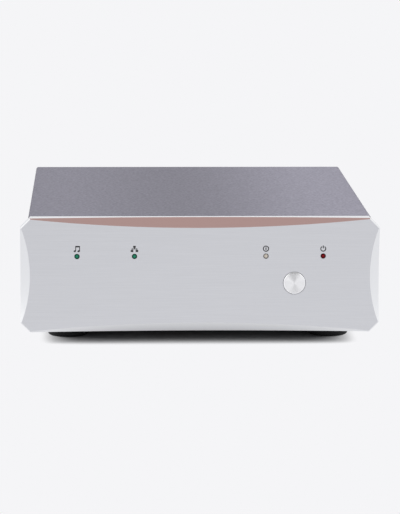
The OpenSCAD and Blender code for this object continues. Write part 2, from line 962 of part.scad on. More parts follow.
module foot_rear_right() {
    foot(foot_x, foot_y[1]);
}

module foot_screws() {
    color([0.6, 0.6, 0.62])
        for (x = [-foot_x, foot_x], y = foot_y)
            translate([x, y, foot_h - foot_seat])
                rotate([180, 0, 0])
                    screw(screw_l);
}

// Main board with the network module and small parts

module main_board() {
    color([0.05, 0.3, 0.15])
        difference() {
            translate([main_x0, main_y0, main_top - pcb_t])
                cube([main_x1 - main_x0, main_d, pcb_t]);
            for (p = main_posts)
                board_hole(p);
        }
}

// Hole for the screw of a post in one of the lying boards
module board_hole(p) {
    translate([p[0], p[1], main_top - pcb_t - cut])
        cylinder(h = pcb_t + 2 * cut, d = screw_hole_d);
}

module network_module() {
    color([0.1, 0.15, 0.3])
        translate([module_x, module_y, main_top]) {
            for (y = [-1, 1])
                translate([-module_w / 2, y * (module_d / 2 - rail_t) - rail_t / 2, 0])
                    cube([module_w, rail_t, module_lift + pcb_t]);
            translate([-module_w / 2, -module_d / 2, module_lift])
                cube([module_w, module_d, pcb_t]);
            translate([-can_w / 2, -can_d / 2, module_lift])
                cube([can_w, can_d, pcb_t + can_h]);
        }
}

module module_heatsink() {
    color([0.12, 0.12, 0.13])
        translate([module_x - cooler_w / 2, module_y - cooler_d / 2, can_z]) {
            cube([cooler_w, cooler_d, cooler_base]);
            for (i = [0:6])
                translate([i * (cooler_w - cooler_fin) / 6, 0, 0])
                    cube([cooler_fin, cooler_d, cooler_h]);
        }
}

module board_parts() {
    color([0.1, 0.1, 0.1])
        translate([parts_x, main_y0, main_top]) {
            translate([-chip_w / 2, chip_in, 0])
                cube([chip_w, chip_w, chip_t]);
            translate([-driver_w / 2, driver_in, 0])
                cube([driver_w, driver_w, driver_t]);
            for (x = [-clock_gap / 2 - clock_w, clock_gap / 2])
                translate([x, clock_in, 0])
                    cube([clock_w, clock_l, clock_h]);
            for (i = [0:2])
                translate([main_x0 - parts_x + small_cap_x + small_cap_pitch * i, small_cap_y, 0])
                    cylinder(h = small_cap_h, d = small_cap_d);
        }
}

module ribbon_headers() {
    color([0.09, 0.09, 0.1]) {
        block(ribbon_x, front_board_y + pcb_t, front_board_z, header_w, header_h, header_t);
        translate([ribbon_x - header_w / 2, main_header_y - header_t / 2, main_top])
            cube([header_w, header_t, header_h]);
    }
}

// Rear sockets on the main board

module rj_shell(x) {
    y = panel_y1 + rj_proud - rj_l;
    z = main_top + rj_h / 2;
    color([0.7, 0.7, 0.72])
        difference() {
            block(x, y, z, rj_w, rj_l, rj_h);
            block(x, y - cut, z, rj_w - 2 * rj_skin, rj_l + 2 * cut, rj_h - 2 * rj_skin);
        }
}

// Insert with the keyed opening and eight contacts over its roof
module rj_insert(x) {
    wall = rj_skin + rj_gap;
    mid = main_top + rj_h / 2;
    y0 = panel_y1 + rj_proud - rj_l + rj_inset;
    l = rj_l - 2 * rj_inset;
    plug_y = y0 + l - rj_plug_l;
    color([0.07, 0.07, 0.08]) {
        difference() {
            block(x, y0, mid, rj_w - 2 * wall, l, rj_h - 2 * wall);
            block(x, plug_y, mid + rj_plug_up, rj_plug_w, rj_plug_l + cut, rj_plug_h);
            block(x, plug_y, mid - rj_key_down, rj_key_w, rj_plug_l + cut, rj_key_h);
        }
        for (i = [-3.5:1:3.5])
            block(x + contact_pitch * i, plug_y - contact_root, mid + contact_up, contact_w, contact_l,
                contact_h);
    }
}

module lan_socket() {
    rj_shell(lan_x);
}

module lan_insert() {
    rj_insert(lan_x);
}

module i2s_socket() {
    rj_shell(i2s_x);
}

module i2s_insert() {
    rj_insert(i2s_x);
}

module optical_socket() {
    y1 = panel_y1 + opt_proud;
    mid = main_top + opt_h / 2;
    pivot = opt_inner_w + 2 * (pivot_l + pivot_end_gap);
    color([0.06, 0.06, 0.07])
        difference() {
            block(opt_x, y1 - opt_l, mid, opt_w, opt_l, opt_h);
            block(opt_x, y1 - opt_rim - cut, mid, opt_inner_w - 2 * opt_ledge, opt_rim + 2 * cut,
                opt_inner_h - 2 * opt_ledge);
            block(opt_x, y1 - opt_rim - opt_deep, mid, opt_inner_w, opt_deep, opt_inner_h);
            translate([opt_x - pivot / 2, shutter_y, shutter_z])
                rotate([0, 90, 0])
                    cylinder(h = pivot, r = shutter_r + pivot_gap);
        }
}

module optical_shutter() {
    w = opt_inner_w - 2 * shutter_gap;
    pivot = opt_inner_w + 2 * pivot_l;
    foot_z = main_top + opt_wall + shutter_gap;
    color([0.1, 0.1, 0.11]) {
        translate([opt_x - w / 2, shutter_y + shutter_r - shutter_t, foot_z])
            cube([w, shutter_t, shutter_z - foot_z]);
        translate([opt_x - pivot / 2, shutter_y, shutter_z])
            rotate([0, 90, 0])
                cylinder(h = pivot, r = shutter_r);
    }
}

module coax_housing() {
    color([0.08, 0.08, 0.09])
        difference() {
            block(coax_x, coax_body_y, main_top + coax_body_h / 2, coax_w, coax_body_l, coax_body_h);
            bar_y(coax_x, coax_body_y + coax_root, coax_z, coax_step_d + 2 * coax_fit, coax_body_l);
        }
}

module coax_barrel() {
    l = panel_y1 + coax_proud - coax_barrel_y;
    color([0.85, 0.7, 0.35])
        difference() {
            union() {
                bar_y(coax_x, coax_barrel_y, coax_z, coax_d, l);
                bar_y(coax_x, coax_barrel_y, coax_z, coax_step_d, panel_y1 + coax_step_l - coax_barrel_y);
            }
            bar_y(coax_x, coax_barrel_y - cut, coax_z, coax_d - 2 * coax_wall, l + 2 * cut);
        }
}

module coax_core() {
    l = panel_y1 + coax_proud - coax_sink - coax_barrel_y;
    color([0.93, 0.93, 0.9])
        difference() {
            bar_y(coax_x, coax_barrel_y, coax_z, coax_d - 2 * coax_wall - 2 * coax_fit, l);
            bar_y(coax_x, coax_barrel_y + l - coax_pin_l, coax_z, coax_pin_d, coax_pin_l + cut);
        }
}

module aes_shell() {
    r = aes_bore / 2 + aes_wall;
    y0 = panel_y1 - aes_l;
    color([0.12, 0.12, 0.13])
        difference() {
            union() {
                translate([aes_x, 0, aes_z])
                    along_y(panel_y1, aes_t)
                        round_outline(aes_w, aes_h, aes_round);
                bar_y(aes_x, y0, aes_z, 2 * r, aes_l + aes_t / 2);
                block(aes_x, y0, (main_top + aes_z) / 2, 1.6 * r, main_y1 - y0, aes_z - main_top);
            }
            bar_y(aes_x, y0 - cut, aes_z, aes_bore, aes_l + aes_t + 2 * cut);
            for (s = [-1, 1])
                bar_y(aes_x + s * aes_screw[0], panel_y1 - cut, aes_z + s * aes_screw[1], screw_hole_d,
                    aes_t + 2 * cut);
        }
}

module aes_insert() {
    y1 = panel_y1 + aes_t - aes_depth;
    y0 = panel_y1 - aes_l;
    r = aes_pin_r;
    color([0.05, 0.05, 0.06])
        difference() {
            bar_y(aes_x, y0, aes_z, aes_bore - 2 * aes_fit, y1 - y0);
            for (a = aes_pin_as)
                bar_y(aes_x + r * cos(a), y0 - cut, aes_z + r * sin(a), aes_pin_d + 2 * aes_fit, aes_l);
        }
}

module aes_pins() {
    r = aes_pin_r;
    color([0.85, 0.72, 0.4])
        for (a = aes_pin_as)
            bar_y(aes_x + r * cos(a), panel_y1 - aes_l, aes_z + r * sin(a), aes_pin_d, aes_l - aes_pin_sink);
}

// Mains inlet with its blades, fuse drawer and rocker

module mains_inlet() {
    cx = cavity_w / 2;
    cz = cavity_h / 2;
    k = cavity_cut;
    pin_l = rocker_w + 2 * (rocker_pin_l + rocker_pin_end);
    color([0.07, 0.07, 0.07])
        difference() {
            union() {
                translate([inlet_x, 0, inlet_mid_z])
                    along_y(panel_y1, inlet_t)
                        round_outline(inlet_w, inlet_h, inlet_round);
                block(inlet_x, inlet_back_y, inlet_mid_z, inlet_body_w, inlet_body_l + inlet_t / 2,
                    inlet_body_h);
            }
            translate([cavity_x, 0, cavity_z])
                along_y(inlet_face_y - cavity_l, cavity_l + cut)
                    polygon([
                        [-cx, -cz], [cx, -cz], [cx, cz - k], [cx - k, cz], [k - cx, cz], [-cx, cz - k]
                    ]);
            for (p = blade_spots)
                block(cavity_x + p[0], inlet_back_y - cut, cavity_z + p[1], blade_w + 2 * blade_gap,
                    inlet_body_l, blade_h + 2 * blade_gap);
            block(cavity_x, inlet_face_y - drawer_l - cut, drawer_z, drawer_w + 2 * drawer_gap,
                drawer_l + 2 * cut, drawer_h + 2 * drawer_gap);
            block(rocker_x, inlet_face_y - rocker_open_l, inlet_mid_z, rocker_open_w, rocker_open_l + cut,
                rocker_open_h);
            translate([rocker_x - pin_l / 2, inlet_face_y - rocker_sink, inlet_mid_z])
                rotate([0, 90, 0])
                    cylinder(h = pin_l, r = rocker_pin_r + rocker_pin_gap);
            for (s = [-1, 1])
                bar_y(inlet_x + s * inlet_screw_x, panel_y1 - cut, inlet_mid_z, screw_hole_d,
                    inlet_t + 2 * cut);
        }
}

module inlet_blades() {
    color([0.8, 0.8, 0.78])
        for (p = blade_spots)
            block(cavity_x + p[0], inlet_back_y - blade_tail, cavity_z + p[1], blade_w,
                inlet_face_y - blade_sink - inlet_back_y + blade_tail, blade_h);
}

module fuse_drawer() {
    pocket_l = fuse_l + 2 * fuse_gap;
    pocket_w = fuse_d + 2 * fuse_gap;
    pocket_y = inlet_face_y - fuse_in - pocket_l;
    color([0.1, 0.1, 0.11])
        difference() {
            union() {
                block(cavity_x, inlet_face_y - drawer_l, drawer_z, drawer_w, drawer_l + drawer_lip / 2,
                    drawer_h);
                block(cavity_x, inlet_face_y, drawer_z, drawer_w + 2 * drawer_lip_x, drawer_lip,
                    drawer_h + 2 * drawer_lip_z);
            }
            for (s = [-1, 1]) {
                block(cavity_x + s * fuse_x, pocket_y, fuse_z + fuse_down / 2, pocket_w, pocket_l,
                    fuse_down + cut);
                bar_y(cavity_x + s * fuse_x, pocket_y, fuse_z, pocket_w, pocket_l);
            }
            block(cavity_x, inlet_face_y + drawer_lip / 2, drawer_z - drawer_h / 2, grip_w, drawer_lip,
                2 * grip_h);
        }
}

module fuse_links() {
    y = inlet_face_y - fuse_in - fuse_gap - fuse_l;
    color([0.85, 0.85, 0.88])
        for (s = [-1, 1])
            bar_y(cavity_x + s * fuse_x, y, fuse_z, fuse_d, fuse_l);
}

module power_rocker() {
    color([0.11, 0.11, 0.12])
        translate([rocker_x, inlet_face_y - rocker_sink, inlet_mid_z])
            rotate([-rocker_tilt, 0, 0]) {
                along_x(-rocker_w / 2, rocker_w)
                    polygon([
                        [rocker_tip, -rocker_half], [rocker_dip, 0], [rocker_tip, rocker_half],
                        [-rocker_heel, rocker_heel_half], [-rocker_root, rocker_root_half],
                        [-rocker_root, -rocker_root_half], [-rocker_heel, -rocker_heel_half]
                    ]);
                translate([-rocker_w / 2 - rocker_pin_l, 0, 0])
                    rotate([0, 90, 0])
                        cylinder(h = rocker_w + 2 * rocker_pin_l, r = rocker_pin_r);
            }
}

// Supply board and its parts

module supply_board() {
    color([0.05, 0.3, 0.15])
        difference() {
            translate([supply_x0, supply_y0, main_top - pcb_t])
                cube([supply_w, supply_d, pcb_t]);
            for (p = supply_posts)
                board_hole(p);
        }
}

module reservoir_capacitors() {
    color([0.15, 0.15, 0.2])
        for (p = cap_spots)
            translate([p[0], p[1], main_top])
                cylinder(h = cap_h, d = cap_d);
}

module regulator_heatsink() {
    color([0.15, 0.15, 0.16])
        translate([supply_x0 + (supply_w - sink_w) / 2, sink_y, main_top]) {
            cube([sink_w, sink_base, fin_h]);
            for (i = [0:10])
                translate([i * (sink_w - fin_t) / 10, 0, 0])
                    cube([fin_t, sink_base + fin_l, fin_h]);
        }
}

module regulators() {
    color([0.1, 0.1, 0.1])
        for (x = regulator_xs)
            translate([x, sink_y, main_top]) {
                translate([-regulator_w / 2, -regulator_t, regulator_up])
                    cube([regulator_w, regulator_t, regulator_h]);
                for (i = [-1, 0, 1])
                    translate([lead_pitch * i - leg_w / 2, -leg_in - leg_w, 0])
                        cube([leg_w, leg_w, regulator_up + leg_root]);
            }
}

module rectifier() {
    color([0.09, 0.09, 0.09])
        translate([supply_x1 - bridge_side - bridge_w, supply_y0 + bridge_in, main_top])
            cube([bridge_w, bridge_t, bridge_h]);
}

module terminal_blocks() {
    color([0.1, 0.4, 0.25]) {
        for (y = [ac_block_y, dc_block_y])
            translate([block_x - block_w / 2, y - block_l / 2, main_top])
                cube([block_w, block_l, block_h]);
        translate([main_block_x - block_l / 2, main_y0 + block_in, main_top])
            cube([block_l, block_w, block_h]);
    }
}

module board_posts() {
    color([0.75, 0.7, 0.5]) {
        for (p = floor_posts)
            translate([p[0], p[1], floor_z])
                post(post_h);
        for (x = [-1, 1], z = [-1, 1])
            translate([x * front_post_x, wall_y, front_board_z + z * front_post_z])
                rotate([-90, 0, 0])
                    post(front_post_l);
    }
}

module board_screws() {
    color([0.7, 0.7, 0.72]) {
        for (p = floor_posts)
            translate([p[0], p[1], main_top])
                screw(screw_l);
        for (x = [-1, 1], z = [-1, 1])
            translate([x * front_post_x, front_board_y + pcb_t, front_board_z + z * front_post_z])
                rotate([-90, 0, 0])
                    screw(screw_l);
        translate([earth_x, earth_y, floor_z + lug_t])
            screw(screw_l);
    }
}

// Transformer and its clamp

module transformer() {
    w = (tor_d - tor_hole) / 2;
    color([0.75, 0.65, 0.3])
        translate([tor_x, tor_y, tor_z])
            rotate_extrude()
                translate([tor_hole / 2 + w / 2, tor_h / 2])
                    round_outline(w, tor_h, tor_round);
}

module transformer_pads() {
    color([0.08, 0.08, 0.08])
        for (z = [floor_z, tor_z + tor_h])
            translate([tor_x, tor_y, z])
                difference() {
                    cylinder(h = pad_t, d = disc_d + 2 * pad_over);
                    translate([0, 0, -cut])
                        cylinder(h = pad_t + 2 * cut, d = bolt_d + 2 * pad_bore_gap);
                }
}

module transformer_disc() {
    color([0.7, 0.7, 0.72])
        translate([tor_x, tor_y, disc_z])
            difference() {
                cylinder(h = disc_t, d = disc_d);
                translate([0, 0, -cut])
                    cylinder(h = disc_t + 2 * cut, d = bolt_d + 2 * bolt_gap);
            }
}

module transformer_bolt() {
    color([0.7, 0.7, 0.72])
        translate([tor_x, tor_y, floor_z0 - bolt_head_h]) {
            cylinder(h = bolt_head_h, d = 2 * bolt_d);
            cylinder(h = bolt_head_h + disc_z + disc_t + nut_h + bolt_end - floor_z0, d = bolt_d);
        }
}

module transformer_nut() {
    color([0.72, 0.72, 0.74])
        translate([tor_x, tor_y, disc_z + disc_t])
            difference() {
                cylinder(h = nut_h, d = nut_w / cos(30), $fn = 6);
                translate([0, 0, -cut])
                    cylinder(h = nut_h + 2 * cut, d = bolt_d + 2 * thread_gap);
            }
}

// Wires and the ribbon

module ribbon_cable() {
    y0 = front_board_y + pcb_t + header_h + wire_gap;
    z1 = main_top + header_h + wire_gap;
    p = [
        [y0, front_board_z], [y0 + ribbon_out, front_board_z + ribbon_rise],
        [main_header_y, z1 + ribbon_drop], [main_header_y, z1]
    ];
    n = 20;
    mid = [for (i = [0:n]) bez(p, i / n)];
    out = [for (i = [0:n]) let (v = bez_way(p, i / n)) [-v[1], v[0]] * ribbon_t / 2];
    color([0.6, 0.6, 0.62])
        along_x(ribbon_x - ribbon_w / 2, ribbon_w)
            polygon(concat(
                [for (i = [0:n]) mid[i] + out[i]],
                [for (i = [n:-1:0]) mid[i] - out[i]]
            ));
}

module mains_leads() {
    y = inlet_back_y - blade_tail - wire_gap;
    a = [for (i = [0, 2]) [cavity_x + blade_spots[i][0], y, cavity_z + blade_spots[i][1]]];
    b = [for (s = [-1, 1]) [tor_x + wire_half * s, tor_y + tor_d / 2 + wire_gap, tor_z + tor_h / 2]];
    bow = [0, mains_bow, 0];
    color([0.2, 0.3, 0.6])
        for (i = [0, 1])
            wire([a[i], a[i] - bow, b[i] + bow, b[i]], [0, 0, 1]);
}

module secondary_leads() {
    tor_end = [tor_x - tor_d / 2 - wire_gap, tor_y, tor_z + tor_h / 2 - secondary_down];
    block_end = [block_x + block_w / 2 + wire_gap, ac_block_y, main_top + block_h / 2];
    bow = [secondary_bow, 0, 0];
    color([0.6, 0.2, 0.15])
        for (s = [-1, 1]) {
            a = tor_end + [0, wire_half * s, 0];
            b = block_end + [0, wire_half * s, 0];
            wire([a, a - bow, b + bow, b], [0, 0, 1]);
        }
}

module supply_leads() {
    supply_end = [block_x, dc_block_y, main_top + block_h + wire_gap];
    main_end = [main_block_x, main_y0 + block_in + block_w / 2, main_top + block_h + wire_gap];
    bow = [0, 0, supply_bow];
    color([0.7, 0.15, 0.12])
        for (s = [-1, 1]) {
            a = supply_end + [0, wire_half * s, 0];
            b = main_end - [wire_half * s, 0, 0];
            wire([a, a + bow, b + bow, b], [1, 0, 0]);
        }
}

module earth_lead() {
    a = [cavity_x, inlet_back_y - blade_tail - wire_gap, cavity_z + blade_spots[1][1]];
    b = [earth_x, earth_y + lug_r + lug_tail_l / 2, floor_z + wire_d / 2 + lug_bed];
    bow = [0, earth_bow, 0];
    color([0.3, 0.6, 0.2]) {
        wire([a, a - bow, b + bow, b], [1, 0, 0]);
        translate([earth_x, earth_y, floor_z])
            difference() {
                union() {
                    cylinder(h = lug_t, r = lug_r);
                    translate([-lug_tail_w / 2, 0, 0])
                        cube([lug_tail_w, lug_r + lug_tail_l, lug_t]);
                }
                translate([0, 0, -cut])
                    cylinder(h = lug_t + 2 * cut, d = screw_hole_d);
            }
    }
}

front_plate();
plate_screws();
power_button();
switch_plunger();
push_switch();
led_music();
led_network();
led_power();
led_standby();
front_board();
chassis_tray();
rear_panel();
panel_screws();
top_cover();
cover_screws();
foot_front_left();
foot_front_right();
foot_rear_left();
foot_rear_right();
foot_screws();
main_board();
network_module();
module_heatsink();
board_parts();
ribbon_headers();
lan_socket();
lan_insert();
i2s_socket();
i2s_insert();
optical_socket();
optical_shutter();
coax_housing();
coax_barrel();
coax_core();
aes_shell();
aes_insert();
aes_pins();
mains_inlet();
inlet_blades();
fuse_drawer();
fuse_links();
power_rocker();
supply_board();
reservoir_capacitors();
regulator_heatsink();
regulators();
rectifier();
terminal_blocks();
board_posts();
board_screws();
transformer();
transformer_pads();
transformer_disc();
transformer_bolt();
transformer_nut();
ribbon_cable();
mains_leads();
secondary_leads();
supply_leads();
earth_lead();
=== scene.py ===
import json
import math

import bpy
from mathutils import Matrix, Vector


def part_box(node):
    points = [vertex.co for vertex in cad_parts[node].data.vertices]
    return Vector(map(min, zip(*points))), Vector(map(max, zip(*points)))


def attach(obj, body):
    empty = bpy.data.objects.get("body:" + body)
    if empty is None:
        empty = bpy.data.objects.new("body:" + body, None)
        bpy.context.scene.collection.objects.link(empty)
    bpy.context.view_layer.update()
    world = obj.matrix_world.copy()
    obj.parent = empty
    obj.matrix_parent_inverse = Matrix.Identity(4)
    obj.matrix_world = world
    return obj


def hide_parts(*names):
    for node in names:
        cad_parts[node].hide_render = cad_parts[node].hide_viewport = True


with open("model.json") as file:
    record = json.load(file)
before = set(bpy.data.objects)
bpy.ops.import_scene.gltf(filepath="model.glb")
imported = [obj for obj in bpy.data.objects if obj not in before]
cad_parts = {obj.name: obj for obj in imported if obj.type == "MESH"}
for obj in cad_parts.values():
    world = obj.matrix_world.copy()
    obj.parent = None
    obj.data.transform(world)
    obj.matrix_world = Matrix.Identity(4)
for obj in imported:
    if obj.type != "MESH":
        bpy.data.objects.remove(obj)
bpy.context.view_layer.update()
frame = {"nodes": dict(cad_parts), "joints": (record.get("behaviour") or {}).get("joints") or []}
nodes = frame["nodes"]


# Tray: floor, front wall and lips, laser cut from one zinc-plated steel sheet and folded.
# It carries the boards, the transformer and the rear panel. The clamp of the transformer and
# the small inner screws have the same dull grey plating, with its faint frosty spangle.
MM = 0.001


def linear(hex_colour):
    """An sRGB hex colour, such as c9cace, as linear red, green, blue and alpha."""
    parts = [int(hex_colour[i:i + 2], 16) / 255 for i in (0, 2, 4)]
    return [*(c / 12.92 if c <= 0.04045 else ((c + 0.055) / 1.055) ** 2.4 for c in parts), 1.0]


def add(tree, kind, inputs=None, **settings):
    """Adds a shader node: settings are its own, inputs are values or sockets to link."""
    made = tree.nodes.new("ShaderNode" + kind)
    for name, value in settings.items():
        setattr(made, name, value)
    for name, value in (inputs or {}).items():
        if isinstance(value, bpy.types.NodeSocket):
            tree.links.new(value, made.inputs[name])
        else:
            made.inputs[name].default_value = value
    return made


def to_surface(tree, outputs):
    """Links outputs of nodes to the named sockets of the material's own shader."""
    for socket, output in outputs.items():
        tree.links.new(output, tree.nodes["Principled BSDF"].inputs[socket])


# Most of the noise that makes a grain lies between these two levels.
GRAIN_LOW = 0.3
GRAIN_HIGH = 0.7


def grained(name, tones, shader, grain_mm, relief_mm, stretch=(1, 1, 1)):
    """A material that wanders between two tones, with a relief of the same grain.

    shader holds the constants of its surface. grain_mm and relief_mm are the size and depth of
    the grain, and stretch draws it out along an axis, as rolling, brushing or extruding does.
    """
    material = bpy.data.materials.new(name)
    material.use_nodes = True
    tree = material.node_tree
    for socket, value in shader.items():
        tree.nodes["Principled BSDF"].inputs[socket].default_value = value
    place = add(tree, "TexCoord", name="place")
    drawn = add(tree, "Mapping", {
        "Vector": place.outputs["Object"], "Scale": [1 / s for s in stretch],
    })
    grain = add(tree, "TexNoise", {
        "Vector": drawn.outputs["Vector"], "Scale": 1 / (grain_mm * MM), "Detail": 3.0,
    })
    share = add(tree, "MapRange", {
        "Value": grain.outputs["Fac"], "From Min": GRAIN_LOW, "From Max": GRAIN_HIGH,
    })
    tone = add(tree, "Mix", {
        0: share.outputs["Result"], 6: linear(tones[0]), 7: linear(tones[1]),
    }, data_type="RGBA", name="tone")
    relief = add(tree, "Bump", {
        "Height": grain.outputs["Fac"], "Distance": relief_mm * MM, "Strength": 1.0,
    }, name="relief")
    to_surface(tree, {"Base Color": tone.outputs[2], "Normal": relief.outputs["Normal"]})
    return material


def dress(material, *names):
    """Gives CAD nodes their material."""
    for name in names:
        nodes[name].data.materials.clear()
        nodes[name].data.materials.append(material)


# Zinc plate on rolled steel: a satin grey metal, whose gloss changes a little from one cell of
# the spangle to the next.
SPANGLE_W = 5 * MM
zinc = grained("zinc_plated_steel", ("9fa2a4", "b4b6b8"), {"Metallic": 1.0},
               grain_mm=1.2, relief_mm=0.004, stretch=(1, 6, 1))
zinc_tree = zinc.node_tree
spangle = add(zinc_tree, "TexVoronoi", {
    "Vector": zinc_tree.nodes["place"].outputs["Object"], "Scale": 1 / SPANGLE_W,
})
spangle_gloss = add(zinc_tree, "MapRange", {
    "Value": spangle.outputs["Color"], "To Min": 0.36, "To Max": 0.5,
})
to_surface(zinc_tree, {"Roughness": spangle_gloss.outputs["Result"]})
dress(zinc, "chassis_tray", "foot_screws", "board_screws",
      "transformer_disc", "transformer_bolt", "transformer_nut")


# Board posts: hexagon bar, turned and threaded, pressed into the tray.
# Nickel-plated brass, also used for the flat blades of the mains inlet: a warm bright metal.
nickel = grained("nickel_plated_brass", ("c9c4b6", "b8b2a2"),
                 {"Metallic": 1.0, "Roughness": 0.26},
                 grain_mm=0.4, relief_mm=0.002, stretch=(1, 1, 5))
dress(nickel, "board_posts", "inlet_blades")


# Circuit boards: woven glass and epoxy under green solder mask, screwed to the posts.
# The mask is glossy, and copper tracks show through it as a lighter green.
# The network module is a bought board, with a blue mask.
TRACK_W = 0.5 * MM
TRACK_L = 14 * MM
TRACK_PITCH = 1.27 * MM


def masked_board(name, bare, over_copper):
    """Solder mask with rows of copper tracks, which run along Y."""
    material = grained(name, (bare, bare), {"Roughness": 0.32, "IOR": 1.5},
                       grain_mm=0.5, relief_mm=0.004)
    tree = material.node_tree
    along_y = add(tree, "Mapping", {
        "Vector": tree.nodes["place"].outputs["Object"], "Rotation": (0, 0, math.pi / 2),
    })
    tracks = add(tree, "TexBrick", {
        "Vector": along_y.outputs["Vector"], "Scale": 1.0,
        "Color1": tree.nodes["tone"].outputs[2], "Color2": tree.nodes["tone"].outputs[2],
        "Mortar": linear(over_copper), "Mortar Size": TRACK_W / 2, "Mortar Smooth": 0.1,
        "Brick Width": TRACK_L, "Row Height": TRACK_PITCH,
    })
    to_surface(tree, {"Base Color": tracks.outputs["Color"]})
    return material


dress(masked_board("green_solder_mask", "0c4a25", "17703a"),
      "front_board", "main_board", "supply_board")
dress(masked_board("blue_solder_mask", "10264f", "1c3f7d"), "network_module")


# Heatsinks: extruded aluminium, black anodised, on the network module and the supply board.
# The anodised skin is a dense satin black, with faint lines left by the extrusion die.
black_anodised = grained("black_anodised_aluminium", ("1d1d1f", "131315"),
                         {"Metallic": 0.55, "Roughness": 0.44},
                         grain_mm=0.6, relief_mm=0.006, stretch=(1, 1, 30))
dress(black_anodised, "module_heatsink", "regulator_heatsink")


# Chips, switch, headers, sockets and inlet: black glass-filled nylon and epoxy, injection
# moulded. The tool leaves a fine spark-eroded grain, so the black is matt with soft lights.
# The grain of 0.2 mm is drawn at 0.35 mm, because the finer one doesn't show.
black_moulded = grained("black_moulded_nylon", ("1c1c1e", "121213"),
                        {"Roughness": 0.5, "IOR": 1.53}, grain_mm=0.35, relief_mm=0.012)
dress(black_moulded, "board_parts", "regulators", "rectifier", "push_switch", "switch_plunger",
      "ribbon_headers", "lan_insert", "i2s_insert", "optical_socket", "optical_shutter",
      "coax_housing", "aes_insert", "mains_inlet", "fuse_drawer")


# Terminal blocks: green nylon blocks with screw clamps, soldered to the boards.
# A mid green with the same moulded grain as the black parts.
green_moulded = grained("green_moulded_nylon", ("227a48", "19653a"),
                        {"Roughness": 0.46, "IOR": 1.53}, grain_mm=0.35, relief_mm=0.01)
dress(green_moulded, "terminal_blocks")


# Smoothing capacitors: aluminium cans in a shrunk sleeve, standing on the supply board.
# The sleeve is dark blue with a pale stripe down one side, and the bare top of the can shows.
# A face looks along an axis when that part of its normal is over ALONG.
ALONG = 0.9
STRIPE_FROM = 0.93
sleeve = grained("capacitor_sleeve", ("1c2233", "161b29"), {"Roughness": 0.3, "IOR": 1.53},
                 grain_mm=2.0, relief_mm=0.004)
sleeve_tree = sleeve.node_tree
sleeve_side = add(sleeve_tree, "NewGeometry")
sleeve_way = add(sleeve_tree, "SeparateXYZ", {"Vector": sleeve_side.outputs["True Normal"]})
can_top = add(sleeve_tree, "Math", {
    0: sleeve_way.outputs["Z"], 1: ALONG,
}, operation="GREATER_THAN")
stripe = add(sleeve_tree, "Math", {
    0: sleeve_way.outputs["X"], 1: STRIPE_FROM,
}, operation="GREATER_THAN")
striped = add(sleeve_tree, "Mix", {
    0: stripe.outputs["Value"], 6: sleeve_tree.nodes["tone"].outputs[2], 7: linear("aeb3bd"),
}, data_type="RGBA")
topped = add(sleeve_tree, "Mix", {
    0: can_top.outputs["Value"], 6: striped.outputs[2], 7: linear("b9bbbe"),
}, data_type="RGBA")
to_surface(sleeve_tree, {"Base Color": topped.outputs[2], "Metallic": can_top.outputs["Value"]})
dress(sleeve, "reservoir_capacitors")


# Transformer: copper wound round a steel ring and wrapped in amber polyester film.
# Each turn of the glossy film overlaps the last, so darker edges about 9 mm apart run across
# the ring.
FILM_W = 9 * MM
wound = grained("amber_film_winding", ("b98a2c", "a57522"),
                {"Roughness": 0.3, "IOR": 1.6, "Coat Weight": 0.4, "Coat Roughness": 0.15},
                grain_mm=3.0, relief_mm=0.02)
wound_tree = wound.node_tree
ring_low, ring_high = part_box("transformer")
ring_mid = (ring_low + ring_high) / 2
film_turns = round(math.pi * (ring_high.x - ring_low.x) / FILM_W)
ring_place = add(wound_tree, "Mapping", {
    "Vector": wound_tree.nodes["place"].outputs["Object"],
    "Location": (-ring_mid.x, -ring_mid.y, 0),
})
ring_axes = add(wound_tree, "SeparateXYZ", {"Vector": ring_place.outputs["Vector"]})
ring_angle = add(wound_tree, "Math", {
    0: ring_axes.outputs["Y"], 1: ring_axes.outputs["X"],
}, operation="ARCTAN2")
film_count = add(wound_tree, "Math", {
    0: ring_angle.outputs["Value"], 1: film_turns / (2 * math.pi),
}, operation="MULTIPLY")
film_step = add(wound_tree, "Math", {0: film_count.outputs["Value"]}, operation="FRACT")
film_tone = add(wound_tree, "Mix", {
    0: film_step.outputs["Value"], 6: linear("8d5f1a"), 7: wound_tree.nodes["tone"].outputs[2],
}, data_type="RGBA")
to_surface(wound_tree, {"Base Color": film_tone.outputs[2]})
wound_tree.links.new(film_step.outputs["Value"], wound_tree.nodes["relief"].inputs["Height"])
dress(wound, "transformer")


# Ribbon cable: ten grey wires in one flat band, with the first wire marked red.
# Soft vinyl with a rib for each wire.
WIRE_PITCH = 1.27 * MM
ribbon = grained("grey_vinyl_ribbon", ("9b9ca1", "8e8f94"), {"Roughness": 0.42, "IOR": 1.53},
                 grain_mm=1.0, relief_mm=0.2)
ribbon_tree = ribbon.node_tree
ribbon_low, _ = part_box("ribbon_cable")
ribbon_place = add(ribbon_tree, "SeparateXYZ", {
    "Vector": ribbon_tree.nodes["place"].outputs["Object"],
})
first_wire = add(ribbon_tree, "Math", {
    0: ribbon_place.outputs["X"], 1: ribbon_low.x + WIRE_PITCH,
}, operation="LESS_THAN")
ribbon_tone = add(ribbon_tree, "Mix", {
    0: first_wire.outputs["Value"],
    6: ribbon_tree.nodes["tone"].outputs[2],
    7: linear("9c2a28"),
}, data_type="RGBA")
wire_phase = add(ribbon_tree, "Math", {
    0: ribbon_place.outputs["X"], 1: math.pi / WIRE_PITCH,
}, operation="MULTIPLY")
wire_wave = add(ribbon_tree, "Math", {0: wire_phase.outputs["Value"]}, operation="SINE")
wire_rib = add(ribbon_tree, "Math", {0: wire_wave.outputs["Value"]}, operation="ABSOLUTE")
to_surface(ribbon_tree, {"Base Color": ribbon_tone.outputs[2]})
ribbon_tree.links.new(wire_rib.outputs["Value"], ribbon_tree.nodes["relief"].inputs["Height"])
dress(ribbon, "ribbon_cable")


